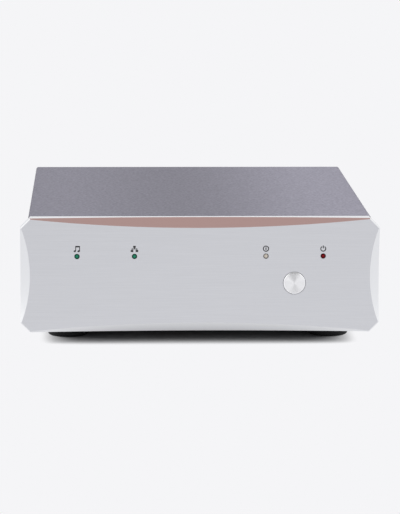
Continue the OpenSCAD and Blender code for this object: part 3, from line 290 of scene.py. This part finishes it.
# Leads: stranded copper in smooth vinyl, blue for the mains and red for the low voltages.
# The earth lead is green with a yellow stripe, and ends in a tinned eyelet under its screw.
YELLOW_FROM = 0.5
EYELET_T = 0.85 * MM


def vinyl(name, tones):
    """Smooth extruded insulation with a soft gloss."""
    return grained(name, tones, {"Roughness": 0.36, "IOR": 1.53}, grain_mm=0.8, relief_mm=0.004)


dress(vinyl("blue_vinyl", ("27468f", "203b7a")), "mains_leads")
dress(vinyl("red_vinyl", ("a5291f", "8d2119")), "secondary_leads", "supply_leads")
earth = vinyl("green_yellow_vinyl", ("3d8a2c", "347a26"))
earth_tree = earth.node_tree
earth_low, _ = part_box("earth_lead")
earth_place = add(earth_tree, "SeparateXYZ", {
    "Vector": earth_tree.nodes["place"].outputs["Object"],
})
earth_side = add(earth_tree, "NewGeometry")
earth_way = add(earth_tree, "SeparateXYZ", {"Vector": earth_side.outputs["True Normal"]})
yellow = add(earth_tree, "Math", {
    0: earth_way.outputs["X"], 1: YELLOW_FROM,
}, operation="GREATER_THAN")
eyelet = add(earth_tree, "Math", {
    0: earth_place.outputs["Z"], 1: earth_low.z + EYELET_T,
}, operation="LESS_THAN")
earth_stripe = add(earth_tree, "Mix", {
    0: yellow.outputs["Value"], 6: earth_tree.nodes["tone"].outputs[2], 7: linear("d5c430"),
}, data_type="RGBA")
earth_tone = add(earth_tree, "Mix", {
    0: eyelet.outputs["Value"], 6: earth_stripe.outputs[2], 7: linear("b9bab9"),
}, data_type="RGBA")
to_surface(earth_tree, {"Base Color": earth_tone.outputs[2], "Metallic": eyelet.outputs["Value"]})
dress(earth, "earth_lead")


# Rear panel: 2 mm aluminium, punched, sanded and clear anodised, screwed to the rear lip.
# A cool satin grey. The sanding lines are 0.1 mm apart and are drawn at 0.5 mm to show.
sanded = grained("sanded_anodised_aluminium", ("b4b5b9", "a3a4a8"),
                 {"Metallic": 1.0, "Roughness": 0.4},
                 grain_mm=0.5, relief_mm=0.004, stretch=(40, 1, 1))
dress(sanded, "rear_panel")


# Network sockets: tinned steel skins round black inserts, soldered to the main board.
# The skins are folded from bright tin plate. Eight gold contacts stand under the roof of each,
# stamped strips whose free ends are bent up.
CONTACTS = 8
CONTACT_W = 0.42 * MM
CONTACT_L = 10.4 * MM
CONTACT_T = 0.14 * MM
CONTACT_PITCH = 1.02 * MM
CONTACT_UP = 3.1 * MM
CONTACT_IN = 3.3 * MM
TIP_L = 1.1 * MM
TIP_RISE = 0.55 * MM
tinned = grained("bright_tin_plate", ("c6c7c8", "b5b6b8"), {"Metallic": 1.0, "Roughness": 0.24},
                 grain_mm=1.5, relief_mm=0.003)
dress(tinned, "lan_socket", "i2s_socket")
gold = grained("gold_plate", ("dcae55", "cf9d42"), {"Metallic": 1.0, "Roughness": 0.22},
               grain_mm=0.5, relief_mm=0.002)


def only(piece):
    """Selects one piece alone and makes it the active one."""
    bpy.ops.object.select_all(action="DESELECT")
    piece.select_set(True)
    bpy.context.view_layer.objects.active = piece


def pick(piece, test=lambda middle, normal: True):
    """Opens a piece in edit mode, with the faces selected whose middle and normal pass a test."""
    only(piece)
    bpy.ops.object.mode_set(mode="EDIT")
    bpy.ops.mesh.select_mode(type="FACE")
    bpy.ops.mesh.select_all(action="DESELECT")
    bpy.ops.object.mode_set(mode="OBJECT")
    for face in piece.data.polygons:
        face.select = test(face.center, face.normal)
    bpy.ops.object.mode_set(mode="EDIT")


def settle(piece, name, material, body):
    """Ends a piece: its place goes into its mesh, and it gets its name, finish and body."""
    only(piece)
    bpy.ops.object.transform_apply(location=True, rotation=True, scale=True)
    piece.name = name
    piece.data.name = name
    piece.data.materials.clear()
    piece.data.materials.append(material)
    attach(piece, body)


def join(parts):
    """Joins pieces into the first one."""
    only(parts[0])
    for part in parts[1:]:
        part.select_set(True)
    bpy.ops.object.join()
    return parts[0]


def copy_at(piece, shift):
    """A copy with its own mesh, moved by shift."""
    only(piece)
    bpy.ops.object.duplicate(linked=False)
    twin = bpy.context.view_layer.objects.active
    twin.location += Vector(shift)
    return twin


for socket in ("lan", "i2s"):
    skin_low, skin_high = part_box(socket + "_socket")
    _, insert_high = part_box(socket + "_insert")
    skin_mid = (skin_low + skin_high) / 2
    bpy.ops.object.select_all(action="DESELECT")
    bpy.ops.mesh.primitive_cube_add(size=1, location=(
        skin_mid.x - (CONTACTS - 1) / 2 * CONTACT_PITCH,
        insert_high.y - CONTACT_IN - CONTACT_L / 2,
        skin_mid.z + CONTACT_UP - CONTACT_T / 2,
    ))
    contact = bpy.context.object
    contact.scale = (CONTACT_W, CONTACT_L, CONTACT_T)
    bpy.ops.object.transform_apply(location=False, rotation=False, scale=True)
    pick(contact, lambda middle, normal: normal.y > ALONG)
    bpy.ops.mesh.extrude_region_move(TRANSFORM_OT_translate={"value": (0, TIP_L, TIP_RISE)})
    bpy.ops.object.mode_set(mode="OBJECT")
    row = [contact] + [copy_at(contact, (CONTACT_PITCH * i, 0, 0)) for i in range(1, CONTACTS)]
    settle(join(row), socket + "_contacts", gold, "case")


# Coaxial socket: a turned barrel, gold plated, round a white insulator with the pin hole.
# Gold gives a warm, slightly uneven mirror, and the insulator is a soft waxy white.
waxy_white = grained("white_insulator", ("eceae3", "e2e0d8"), {"Roughness": 0.48, "IOR": 1.38},
                     grain_mm=1.0, relief_mm=0.006)
dress(gold, "coax_barrel", "aes_pins")
dress(waxy_white, "coax_core")


# Studio socket: a black-plated zinc casting with three gold pins, held by two screws.
# The casting is smooth and dark, with a soft metallic gloss.
black_plated = grained("black_plated_zinc", ("2a2a2d", "1e1e20"),
                       {"Metallic": 0.7, "Roughness": 0.36}, grain_mm=0.8, relief_mm=0.006)
dress(black_plated, "aes_shell")


# Fuses in the drawer of the inlet: glass tubes 20 mm long with nickel caps of 5 mm.
# The caps are bright metal, and the tube between them is pale and glossy.
TUBE_HALF = 5 * MM
fuse = grained("fuse_glass", ("d4d9da", "c6cccd"), {"Roughness": 0.12, "IOR": 1.5},
               grain_mm=2.0, relief_mm=0.002)
fuse_tree = fuse.node_tree
fuse_low, fuse_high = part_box("fuse_links")
fuse_place = add(fuse_tree, "SeparateXYZ", {
    "Vector": fuse_tree.nodes["place"].outputs["Object"],
})
fuse_way = add(fuse_tree, "Math", {
    0: fuse_place.outputs["Y"], 1: (fuse_low.y + fuse_high.y) / 2,
}, operation="SUBTRACT")
fuse_off = add(fuse_tree, "Math", {0: fuse_way.outputs["Value"]}, operation="ABSOLUTE")
fuse_cap = add(fuse_tree, "Math", {
    0: fuse_off.outputs["Value"], 1: TUBE_HALF,
}, operation="GREATER_THAN")
to_surface(fuse_tree, {"Metallic": fuse_cap.outputs["Value"]})
dress(fuse, "fuse_links")


# Rocker of the mains switch: glossy black nylon, snapped on two pivots in the inlet.
# A bar and a ring are printed on its two halves in white, as on any such switch.
INK_T = 0.03 * MM
MARK_H = 4.2 * MM
MARK_LINE = 0.7 * MM
PIVOT_CLEAR = 3 * MM
FACES_REAR = 0.8
glossy_black = grained("glossy_black_nylon", ("121213", "0d0d0e"), {"Roughness": 0.2, "IOR": 1.53},
                       grain_mm=1.5, relief_mm=0.002)
dress(glossy_black, "power_rocker")
white_ink = grained("white_ink", ("e9e9e6", "dcdcd8"), {"Roughness": 0.55},
                    grain_mm=0.3, relief_mm=0.002)
rocker_mid = Vector(next(j for j in frame["joints"] if j["name"] == "rocker_tilt")["pos_m"])
rocker_mesh = nodes["power_rocker"].data


def rocker_half(upper):
    """Middle and normal of one half of the rocker's rear face."""
    found = [f for f in rocker_mesh.polygons
             if f.center.y > rocker_mid.y + PIVOT_CLEAR and f.normal.y > FACES_REAR
             and (f.center.z > rocker_mid.z) == upper]
    area = sum(f.area for f in found)
    middle = sum((f.center * f.area for f in found), Vector()) / area
    normal = sum((f.normal * f.area for f in found), Vector()).normalized()
    return middle, normal


def ink_bar(x, y, w, h):
    """A flat stroke with its ends cut square."""
    bpy.ops.object.select_all(action="DESELECT")
    bpy.ops.mesh.primitive_plane_add(size=1, location=(x, y, 0))
    bar = bpy.context.object
    bar.scale = (w, h, 1)
    bpy.ops.object.transform_apply(location=True, rotation=True, scale=True)
    return bar


def ink_ring(x, y, radius, line, gap=0.0):
    """A flat ring, with an opening of that half width at its top if gap is given."""
    bpy.ops.object.select_all(action="DESELECT")
    bpy.ops.mesh.primitive_circle_add(vertices=48, radius=radius, fill_type="NGON",
                                      location=(x, y, 0))
    ring = bpy.context.object
    bpy.ops.object.transform_apply(location=True, rotation=True, scale=True)
    pick(ring)
    bpy.ops.mesh.inset(thickness=line)
    bpy.ops.mesh.delete(type="FACE")
    bpy.ops.object.mode_set(mode="OBJECT")
    if gap:
        pick(ring, lambda middle, normal: middle.y > y and abs(middle.x - x) < gap)
        bpy.ops.mesh.delete(type="FACE")
        bpy.ops.object.mode_set(mode="OBJECT")
    return ring


def thicken(mark):
    """Gives a flat mark the thickness of the ink."""
    pick(mark)
    bpy.ops.mesh.extrude_region_move(TRANSFORM_OT_translate={"value": (0, 0, INK_T)})
    bpy.ops.mesh.select_all(action="SELECT")
    bpy.ops.mesh.normals_make_consistent(inside=False)
    bpy.ops.object.mode_set(mode="OBJECT")


def lay_on(mark, middle, normal):
    """Turns a mark drawn flat at the origin onto a face at the front or rear."""
    across = Vector((-1, 0, 0)) if normal.y > 0 else Vector((1, 0, 0))
    up = normal.cross(across)
    turn = Matrix((across, up, normal)).transposed().to_4x4()
    mark.matrix_world = Matrix.Translation(middle) @ turn


rocker_marks = (
    ("rocker_on_mark", ink_bar(0, 0, MARK_LINE, MARK_H), True),
    ("rocker_off_mark", ink_ring(0, 0, MARK_H / 2, MARK_LINE), False),
)
for name, mark, upper in rocker_marks:
    thicken(mark)
    lay_on(mark, *rocker_half(upper))
    settle(mark, name, white_ink, "rocker")


# Front plate: a 10 mm aluminium slab, milled to arched bevels, finely brushed and anodised.
# It is screwed to the tray from inside. Its bevels carry painted reflections, rose on the top one.
# The brush lines are 0.05 mm apart and are drawn at 0.4 mm, because finer ones don't show.
# Painted reflections: bright on the end bevels, rose on the upper one, paler grey on the lower one.
ROSE_REFLECTION = "b49793"
END_BEVEL_REFLECTION = "eeeff1"
LOWER_BEVEL_REFLECTION = "e9eaec"
# A bevel is known by its normal: Y is about -0.7, and Z passes 0.6 on the upper and lower ones.
SLANT_Y = -0.7
SLANT_ROOM = 0.15
SLANT_Z = 0.6
plate = grained("brushed_anodised_aluminium", ("dddee2", "d9dade"),
                {"Metallic": 1.0, "Roughness": 0.36},
                grain_mm=0.4, relief_mm=0.002, stretch=(60, 1, 1))
plate_tree = plate.node_tree
plate_side = add(plate_tree, "NewGeometry")
plate_way = add(plate_tree, "SeparateXYZ", {"Vector": plate_side.outputs["True Normal"]})
slant = add(plate_tree, "Math", {
    0: plate_way.outputs["Y"], 1: SLANT_Y, 2: SLANT_ROOM,
}, operation="COMPARE")
plate_tone = add(plate_tree, "Mix", {
    0: slant.outputs["Value"], 6: plate_tree.nodes["tone"].outputs[2], 7: linear(END_BEVEL_REFLECTION),
}, data_type="RGBA")
# Paints the reflection colour of the upper and the lower bevel.
for way, colour in ((1, ROSE_REFLECTION), (-1, LOWER_BEVEL_REFLECTION)):
    faces = add(plate_tree, "Math", {0: plate_way.outputs["Z"], 1: way}, operation="MULTIPLY")
    beyond = add(plate_tree, "Math", {
        0: faces.outputs["Value"], 1: SLANT_Z,
    }, operation="GREATER_THAN")
    bevel = add(plate_tree, "Math", {
        0: slant.outputs["Value"], 1: beyond.outputs["Value"],
    }, operation="MULTIPLY")
    plate_tone = add(plate_tree, "Mix", {
        0: bevel.outputs["Value"], 6: plate_tone.outputs[2], 7: linear(colour),
    }, data_type="RGBA")
to_surface(plate_tree, {"Base Color": plate_tone.outputs[2]})
dress(plate, "front_plate")


# Signs over the indicators: black ink, screen printed on the plate, 3.8 mm high.
# Plain signs for sound, network, on and standby, each centred over its indicator.
SIGN_H = 3.8 * MM
SIGN_LINE = 0.6 * MM
SIGN_GAP = 2.7 * MM
HALF_H = SIGN_H / 2
FORWARD = Vector((0, -1, 0))
black_ink = grained("black_ink", ("1a1a1c", "232325"), {"Roughness": 0.6},
                    grain_mm=0.3, relief_mm=0.002)
plate_low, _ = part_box("front_plate")


def ink_dot(x, y, w, h, turn):
    """A flat oval, turned anticlockwise, such as the head of a note."""
    bpy.ops.object.select_all(action="DESELECT")
    bpy.ops.mesh.primitive_circle_add(vertices=32, radius=0.5, fill_type="NGON",
                                      location=(x, y, 0), rotation=(0, 0, turn))
    dot = bpy.context.object
    dot.scale = (w, h, 1)
    bpy.ops.object.transform_apply(location=True, rotation=True, scale=True)
    return dot


def print_sign(strokes, lamp, name):
    """Fuses flat strokes that overlap into one sign, and prints it over an indicator."""
    for stroke in strokes:
        thicken(stroke)
    sign = strokes[0]
    for stroke in strokes[1:]:
        weld = sign.modifiers.new("weld", "BOOLEAN")
        weld.operation = "UNION"
        weld.solver = "EXACT"
        weld.object = stroke
        only(sign)
        bpy.ops.object.modifier_apply(modifier="weld")
        bpy.data.objects.remove(stroke)
    lamp_low, lamp_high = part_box(lamp)
    lamp_mid = (lamp_low + lamp_high) / 2
    lay_on(sign, Vector((lamp_mid.x, plate_low.y, lamp_mid.z + SIGN_GAP + HALF_H)), FORWARD)
    settle(sign, name, black_ink, "case")


# Two notes under one beam.
HEAD_W = 1.55 * MM
HEAD_H = 1.15 * MM
HEAD_UP = 0.58 * MM
HEAD_TURN = 0.35
NOTE_W = 0.5 * MM
NOTE_H = 3.0 * MM
NOTE_UP = 0.2 * MM
BEAM_H = 0.9 * MM
heads = (-1.3 * MM, 1.05 * MM)
stems = (-0.78 * MM, 1.57 * MM)
print_sign(
    [ink_dot(x, HEAD_UP - HALF_H, HEAD_W, HEAD_H, HEAD_TURN) for x in heads]
    + [ink_bar(x, NOTE_UP, NOTE_W, NOTE_H) for x in stems]
    + [ink_bar(sum(stems) / 2, HALF_H - BEAM_H / 2, stems[1] - stems[0] + NOTE_W, BEAM_H)],
    "led_music", "sign_sound")

# One box over two, linked by lines.
BOX_W = 1.6 * MM
BOX_H = 1.2 * MM
BOX_X = 1.5 * MM
BOX_Y = HALF_H - BOX_H / 2
LINK_W = 0.5 * MM
LINK_H = 1.2 * MM
LINK_Y = 0.4 * MM
columns = ((0, 1), (-BOX_X, -1), (BOX_X, -1))
print_sign(
    [ink_bar(x, up * BOX_Y, BOX_W, BOX_H) for x, up in columns]
    + [ink_bar(0, 0, 2 * BOX_X + LINK_W, LINK_W)]
    + [ink_bar(x, up * LINK_Y, LINK_W, LINK_H) for x, up in columns],
    "led_network", "sign_network")

# A bar in a ring, and a bar in the opening of a ring.
BAR_H = 1.8 * MM
RING_DOWN = 0.1 * MM
RING_OPENING = 0.75 * MM
print_sign(
    [ink_ring(0, 0, HALF_H, SIGN_LINE), ink_bar(0, 0, SIGN_LINE, BAR_H)],
    "led_power", "sign_on")
print_sign(
    [ink_ring(0, -RING_DOWN, HALF_H - RING_DOWN, SIGN_LINE, gap=RING_OPENING),
     ink_bar(0, HALF_H - BAR_H / 2, SIGN_LINE, BAR_H)],
    "led_standby", "sign_standby")


# Indicators: 3 mm lamps of tinted epoxy, pushed into the plate from behind.
# The dome is clear and glossy. Its middle is painted lighter, a painted reflection of the cup
# inside.
CUP_R = 0.3 * MM
TINT_R = 1.35 * MM


def lens(name, rim, middle, lamp):
    """Tinted epoxy that is dark at the rim, with a painted reflection of the cup lighter in the
    middle of the dome.
    """
    low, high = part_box(lamp)
    lamp_mid = (low + high) / 2
    material = grained(name, (rim, rim),
                       {"Roughness": 0.16, "IOR": 1.54, "Specular IOR Level": 0.1},
                       grain_mm=0.5, relief_mm=0.001)
    tree = material.node_tree
    centred = add(tree, "Mapping", {
        "Vector": tree.nodes["place"].outputs["Object"],
        "Location": (-lamp_mid.x, 0, -lamp_mid.z),
    })
    flat = add(tree, "VectorMath", {
        0: centred.outputs["Vector"], 1: (1, 0, 1),
    }, operation="MULTIPLY")
    off = add(tree, "VectorMath", {0: flat.outputs["Vector"]}, operation="LENGTH")
    # The lighter middle is a painted reflection of the cup inside.
    cup_reflection = add(tree, "MapRange", {
        "Value": off.outputs["Value"], "From Min": CUP_R, "From Max": TINT_R,
        "To Min": 1.0, "To Max": 0.0,
    }, interpolation_type="SMOOTHSTEP")
    tone = add(tree, "Mix", {
        0: cup_reflection.outputs["Result"], 6: tree.nodes["tone"].outputs[2], 7: linear(middle),
    }, data_type="RGBA")
    to_surface(tree, {"Base Color": tone.outputs[2]})
    dress(material, lamp)


lens("green_epoxy_led_music", "104b3a", "237d60", "led_music")
lens("green_epoxy_led_network", "104b3a", "237d60", "led_network")
lens("clear_epoxy", "918b84", "c3bbaf", "led_power")
lens("red_epoxy", "3f0207", "72080f", "led_standby")


# Push button: turned from aluminium, clear anodised, sliding in the plate on its flange.
# Its face is crowned, and its polished round rim catches the light from both sides.
# The lathe leaves rings 0.05 mm apart, drawn at 0.25 mm, which spread light into fans.
BUTTON_R = 6.8 * MM
CROWN_RISE = 0.5 * MM
CROWN_FLAT_R = 1 * MM
CROWN_RINGS = 8
RIM_R = 0.6 * MM
RIM_RINGS = 6
FLANGE_T = 1.5 * MM
STEM_R = 2.5 * MM
STEM_L = 6.5 * MM
RING_PITCH = 0.25 * MM
# The polish begins where the rim does, and fades in over this share of the rim on either side.
POLISH_FADE = 0.2
turned = grained("turned_anodised_aluminium", ("fbfbfc", "f6f6f8"),
                 {"Metallic": 1.0, "Anisotropic": 0.9}, grain_mm=0.6, relief_mm=0.002)
turned_tree = turned.node_tree
button_low, button_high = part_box("power_button")
button_mid = (button_low + button_high) / 2
button_place = add(turned_tree, "Mapping", {
    "Vector": turned_tree.nodes["place"].outputs["Object"],
    "Location": (-button_mid.x, 0, -button_mid.z),
})
button_flat = add(turned_tree, "VectorMath", {
    0: button_place.outputs["Vector"], 1: (1, 0, 1),
}, operation="MULTIPLY")
button_off = add(turned_tree, "VectorMath", {
    0: button_flat.outputs["Vector"],
}, operation="LENGTH")
across_rings = add(turned_tree, "VectorMath", {
    0: button_flat.outputs["Vector"],
}, operation="NORMALIZE")
ring_phase = add(turned_tree, "Math", {
    0: button_off.outputs["Value"], 1: 2 * math.pi / RING_PITCH,
}, operation="MULTIPLY")
ring_wave = add(turned_tree, "Math", {0: ring_phase.outputs["Value"]}, operation="SINE")
turned_tree.links.new(ring_wave.outputs["Value"], turned_tree.nodes["relief"].inputs["Height"])
polish = add(turned_tree, "MapRange", {
    "Value": button_off.outputs["Value"],
    "From Min": BUTTON_R - (1 + POLISH_FADE) * RIM_R,
    "From Max": BUTTON_R - (1 - POLISH_FADE) * RIM_R,
    "To Min": 0.4, "To Max": 0.15,
})
to_surface(turned_tree, {
    "Tangent": across_rings.outputs["Vector"], "Roughness": polish.outputs["Result"],
})

flange_r = (button_high.x - button_low.x) / 2
flange_back = button_high.y - STEM_L
crown_r = (BUTTON_R ** 2 + CROWN_RISE ** 2) / (2 * CROWN_RISE)
crown_edge = BUTTON_R - RIM_R


def crown_depth(radius):
    """How far the crowned face lies behind its flat middle at a radius."""
    return math.sqrt(crown_r ** 2 - CROWN_FLAT_R ** 2) - math.sqrt(crown_r ** 2 - radius ** 2)


# The outline goes round the rim from the side, and then in to the flat of the crown.
outline = []
for i in range(RIM_RINGS + 1):
    angle = math.pi / 2 * i / RIM_RINGS
    outline.append((crown_edge + RIM_R * math.cos(angle),
                    crown_depth(crown_edge) + RIM_R * (1 - math.sin(angle))))
for i in range(1, CROWN_RINGS + 1):
    radius = crown_edge + (CROWN_FLAT_R - crown_edge) * i / CROWN_RINGS
    outline.append((radius, crown_depth(radius)))
side_l = flange_back - FLANGE_T - button_low.y - outline[0][1]

bpy.ops.object.select_all(action="DESELECT")
bpy.ops.mesh.primitive_cylinder_add(
    vertices=96, radius=flange_r, depth=FLANGE_T, rotation=(math.pi / 2, 0, 0),
    location=(button_mid.x, flange_back - FLANGE_T / 2, button_mid.z))
button = bpy.context.object
bpy.ops.object.transform_apply(location=True, rotation=True, scale=True)
pick(button, lambda middle, normal: normal.y > ALONG)
bpy.ops.mesh.inset(thickness=flange_r - STEM_R)
bpy.ops.mesh.extrude_region_move(TRANSFORM_OT_translate={"value": (0, STEM_L, 0)})
bpy.ops.object.mode_set(mode="OBJECT")
pick(button, lambda middle, normal: normal.y < -ALONG)
bpy.ops.mesh.inset(thickness=flange_r - BUTTON_R)
bpy.ops.mesh.extrude_region_move(TRANSFORM_OT_translate={"value": (0, -side_l, 0)})
for (r_out, y_out), (r_in, y_in) in zip(outline, outline[1:]):
    bpy.ops.mesh.inset(thickness=r_out - r_in, depth=y_out - y_in)
bpy.ops.object.mode_set(mode="OBJECT")
bpy.ops.object.shade_smooth_by_angle(angle=math.radians(40))
settle(button, "push_button", turned, "button")
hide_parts("power_button")


# Top cover: 1.2 mm steel folded to a U, with a fine grey powder coat, screwed at its sides.
# The coat is a dull purple grey. Its grain of 0.3 mm is drawn at 1.5 mm to show.
coated = grained("grey_powder_coat", ("595862", "73717c"),
                 {"Roughness": 0.7, "IOR": 1.5, "Specular IOR Level": 0.25},
                 grain_mm=1.5, relief_mm=0.02)
dress(coated, "top_cover")


# Screws of the case: domed steel screws with a hexagon socket, blackened in hot oxide.
# The oxide is a thin blue-black skin with a dull gloss.
black_oxide = grained("black_oxide_steel", ("1b1b1e", "121214"),
                      {"Metallic": 0.6, "Roughness": 0.4}, grain_mm=0.4, relief_mm=0.004)
dress(black_oxide, "plate_screws", "panel_screws", "cover_screws")


# Feet: moulded black rubber, one screw in each. The pads of the transformer are the same.
# Rubber is matt and nearly black, with a slight uneven bloom.
rubber = grained("black_rubber", ("1d1d1e", "121213"),
                 {"Roughness": 0.7, "IOR": 1.5, "Specular IOR Level": 0.35},
                 grain_mm=1.2, relief_mm=0.015)
dress(rubber, "foot_front_left", "foot_front_right", "foot_rear_left", "foot_rear_right",
      "transformer_pads")


# Studio: a pale floor and backdrop under a light tent, dimmer above and open over the camera.
# Floor and backdrop show one pale colour; the floor keeps the unit's shadow, with painted shade.
# A soft box with a grid hangs over each end of the cover. The camera stands low on the left.
FLOOR = "f5f5f7"
# A painted shade colour, which the floor takes where its shadow shows.
PAINTED_SHADE = "707072"
FLOOR_SIZE = 16
bpy.ops.object.select_all(action="DESELECT")
bpy.ops.mesh.primitive_plane_add(size=FLOOR_SIZE, location=(0, 0, 0))
floor = bpy.context.object
floor.name = "floor"
floor_paper = grained("floor_paper", (FLOOR, FLOOR),
                      {"Roughness": 0.95, "Specular IOR Level": 0.0},
                      grain_mm=2.0, relief_mm=0.0)
paper_tree = floor_paper.node_tree
paper_ray = add(paper_tree, "LightPath")
paper_seen = add(paper_tree, "Math", {
    0: paper_ray.outputs["Is Camera Ray"], 1: paper_ray.outputs["Is Glossy Ray"],
}, operation="MAXIMUM")
paper_shown = add(paper_tree, "Math", {
    0: paper_seen.outputs["Value"], 1: paper_ray.outputs["Is Transmission Ray"],
}, operation="MAXIMUM")

# The shadow follows how much of the sky a point of the floor sees on its freer side, left or
# right, each side leaning LOW_LIGHT from upright. It is full below one share and gone at another.
LOW_LIGHT = math.radians(58)
SHADOW_REACH = 150 * MM
SHADOW_FULL = 0.3
SHADOW_GONE = 0.655
paper_sides = []
for side in (-1, 1):
    toward = add(paper_tree, "CombineXYZ", {
        "X": side * math.sin(LOW_LIGHT), "Z": math.cos(LOW_LIGHT),
    })
    paper_sides.append(add(paper_tree, "AmbientOcclusion", {
        "Distance": SHADOW_REACH, "Normal": toward.outputs["Vector"],
    }, samples=32))
paper_free = add(paper_tree, "Math", {
    0: paper_sides[0].outputs["AO"], 1: paper_sides[1].outputs["AO"],
}, operation="MAXIMUM")
paper_open = add(paper_tree, "MapRange", {
    "Value": paper_free.outputs["Value"], "From Min": SHADOW_FULL, "From Max": SHADOW_GONE,
}, interpolation_type="SMOOTHSTEP")
# Painted shade: where the floor shows its shadow it takes the darker colour, deepening it.
paper_painted_shade = add(paper_tree, "Mix", {
    0: paper_shown.outputs["Value"], 6: paper_tree.nodes["tone"].outputs[2], 7: linear(PAINTED_SHADE),
}, data_type="RGBA")
to_surface(paper_tree, {"Base Color": paper_painted_shade.outputs[2]})
paper_share = add(paper_tree, "Math", {
    0: paper_shown.outputs["Value"], 1: paper_open.outputs["Result"],
}, operation="MULTIPLY")
paper_white = add(paper_tree, "Emission", {"Color": linear(FLOOR), "Strength": 1.0})
paper_mix = add(paper_tree, "MixShader", {
    0: paper_share.outputs["Value"],
    1: paper_tree.nodes["Principled BSDF"].outputs["BSDF"],
    2: paper_white.outputs["Emission"],
})
paper_tree.links.new(paper_mix.outputs["Shader"],
                     paper_tree.nodes["Material Output"].inputs["Surface"])
floor.data.materials.append(floor_paper)

scene = bpy.context.scene
scene.view_settings.view_transform = "Standard"

# The tent's cloth has a plain level, a little more on the left and at both sides, and less in
# the roof. Its opening lies 25 degrees above the front, from SLOT_EDGE to its heart.
TENT_LEVEL = 1.145
TENT_LEAN = -0.09
TENT_SIDES = 0.1
TENT_ROOF = -0.25
SLOT_WAY = (0, -0.906, 0.423)
SLOT_EDGE = 0.905
SLOT_HEART = 0.972
SLOT_LIGHT = 0.02
# The backdrop rises to the first of these heights of the sky and fades out at the second.
BACKDROP_TOP = 0.09
BACKDROP_END = 0.16
world = bpy.data.worlds.new("tent")
scene.world = world
world.use_nodes = True
tent = world.node_tree
tent_way = add(tent, "TexCoord")
tent_axes = add(tent, "SeparateXYZ", {"Vector": tent_way.outputs["Generated"]})
tent_side = add(tent, "Math", {
    0: tent_axes.outputs["X"], 1: tent_axes.outputs["X"],
}, operation="MULTIPLY")
tent_top = add(tent, "Math", {
    0: tent_axes.outputs["Z"], 1: tent_axes.outputs["Z"],
}, operation="MULTIPLY")
tent_left = add(tent, "Math", {
    0: tent_axes.outputs["X"], 1: TENT_LEAN, 2: TENT_LEVEL,
}, operation="MULTIPLY_ADD")
tent_sides = add(tent, "Math", {
    0: tent_side.outputs["Value"], 1: TENT_SIDES, 2: tent_left.outputs["Value"],
}, operation="MULTIPLY_ADD")
tent_cloth = add(tent, "Math", {
    0: tent_top.outputs["Value"], 1: TENT_ROOF, 2: tent_sides.outputs["Value"],
}, operation="MULTIPLY_ADD")
tent_slot = add(tent, "VectorMath", {
    0: tent_way.outputs["Generated"], 1: SLOT_WAY,
}, operation="DOT_PRODUCT")
tent_open = add(tent, "MapRange", {
    "Value": tent_slot.outputs["Value"], "From Min": SLOT_EDGE, "From Max": SLOT_HEART,
    "To Min": 1.0, "To Max": SLOT_LIGHT,
}, interpolation_type="SMOOTHSTEP")
tent_level = add(tent, "Math", {
    0: tent_cloth.outputs["Value"], 1: tent_open.outputs["Result"],
}, operation="MULTIPLY")
above_backdrop = add(tent, "MapRange", {
    "Value": tent_axes.outputs["Z"], "From Min": BACKDROP_TOP, "From Max": BACKDROP_END,
}, interpolation_type="SMOOTHSTEP")
tent_strength = add(tent, "Mix", {
    0: above_backdrop.outputs["Result"], 2: 1.0, 3: tent_level.outputs["Value"],
}, data_type="FLOAT")
tent_colour = add(tent, "Mix", {
    0: above_backdrop.outputs["Result"], 6: linear(FLOOR), 7: linear("ffffff"),
}, data_type="RGBA")
tent.links.new(tent_strength.outputs[0], tent.nodes["Background"].inputs["Strength"])
tent.links.new(tent_colour.outputs[2], tent.nodes["Background"].inputs["Color"])

SOFT_BOX_X = 90 * MM
SOFT_BOX_Z = 220 * MM
SOFT_BOX_W = 100 * MM
SOFT_BOX_L = 500 * MM
GRID_SPREAD = math.radians(80)
for name, side, energy in (("soft_box_left", -1, 0.12), ("soft_box_right", 1, 0.22)):
    bpy.ops.object.select_all(action="DESELECT")
    bpy.ops.object.light_add(type="AREA", location=(SOFT_BOX_X * side, 0, SOFT_BOX_Z))
    soft_box = bpy.context.object
    soft_box.name = name
    soft_box.data.shape = "RECTANGLE"
    soft_box.data.size = SOFT_BOX_W
    soft_box.data.size_y = SOFT_BOX_L
    soft_box.data.spread = GRID_SPREAD
    soft_box.data.energy = energy
    soft_box.visible_camera = False
    soft_box.visible_glossy = False

CAMERA_AT = Vector((-61.6, -1948.5, 330.84)) * MM
YAW, PITCH, ROLL = (math.radians(a) for a in (1.9391, 8.652, 0.1743))
FOCAL_PX = 3004.49
IMAGE_H_PX = 514
ahead = Vector((math.sin(YAW) * math.cos(PITCH), math.cos(YAW) * math.cos(PITCH), -math.sin(PITCH)))
right = Vector((math.cos(YAW), -math.sin(YAW), 0))
above = right.cross(ahead)
right, above = (right * math.cos(ROLL) + above * math.sin(ROLL),
                above * math.cos(ROLL) - right * math.sin(ROLL))
camera_turn = Matrix((right, above, -ahead)).transposed().to_4x4()
camera_data = bpy.data.cameras.new("camera")
camera_data.lens = FOCAL_PX / IMAGE_H_PX * camera_data.sensor_width
camera = bpy.data.objects.new("camera", camera_data)
scene.collection.objects.link(camera)
camera.matrix_world = Matrix.Translation(CAMERA_AT) @ camera_turn
scene.camera = camera
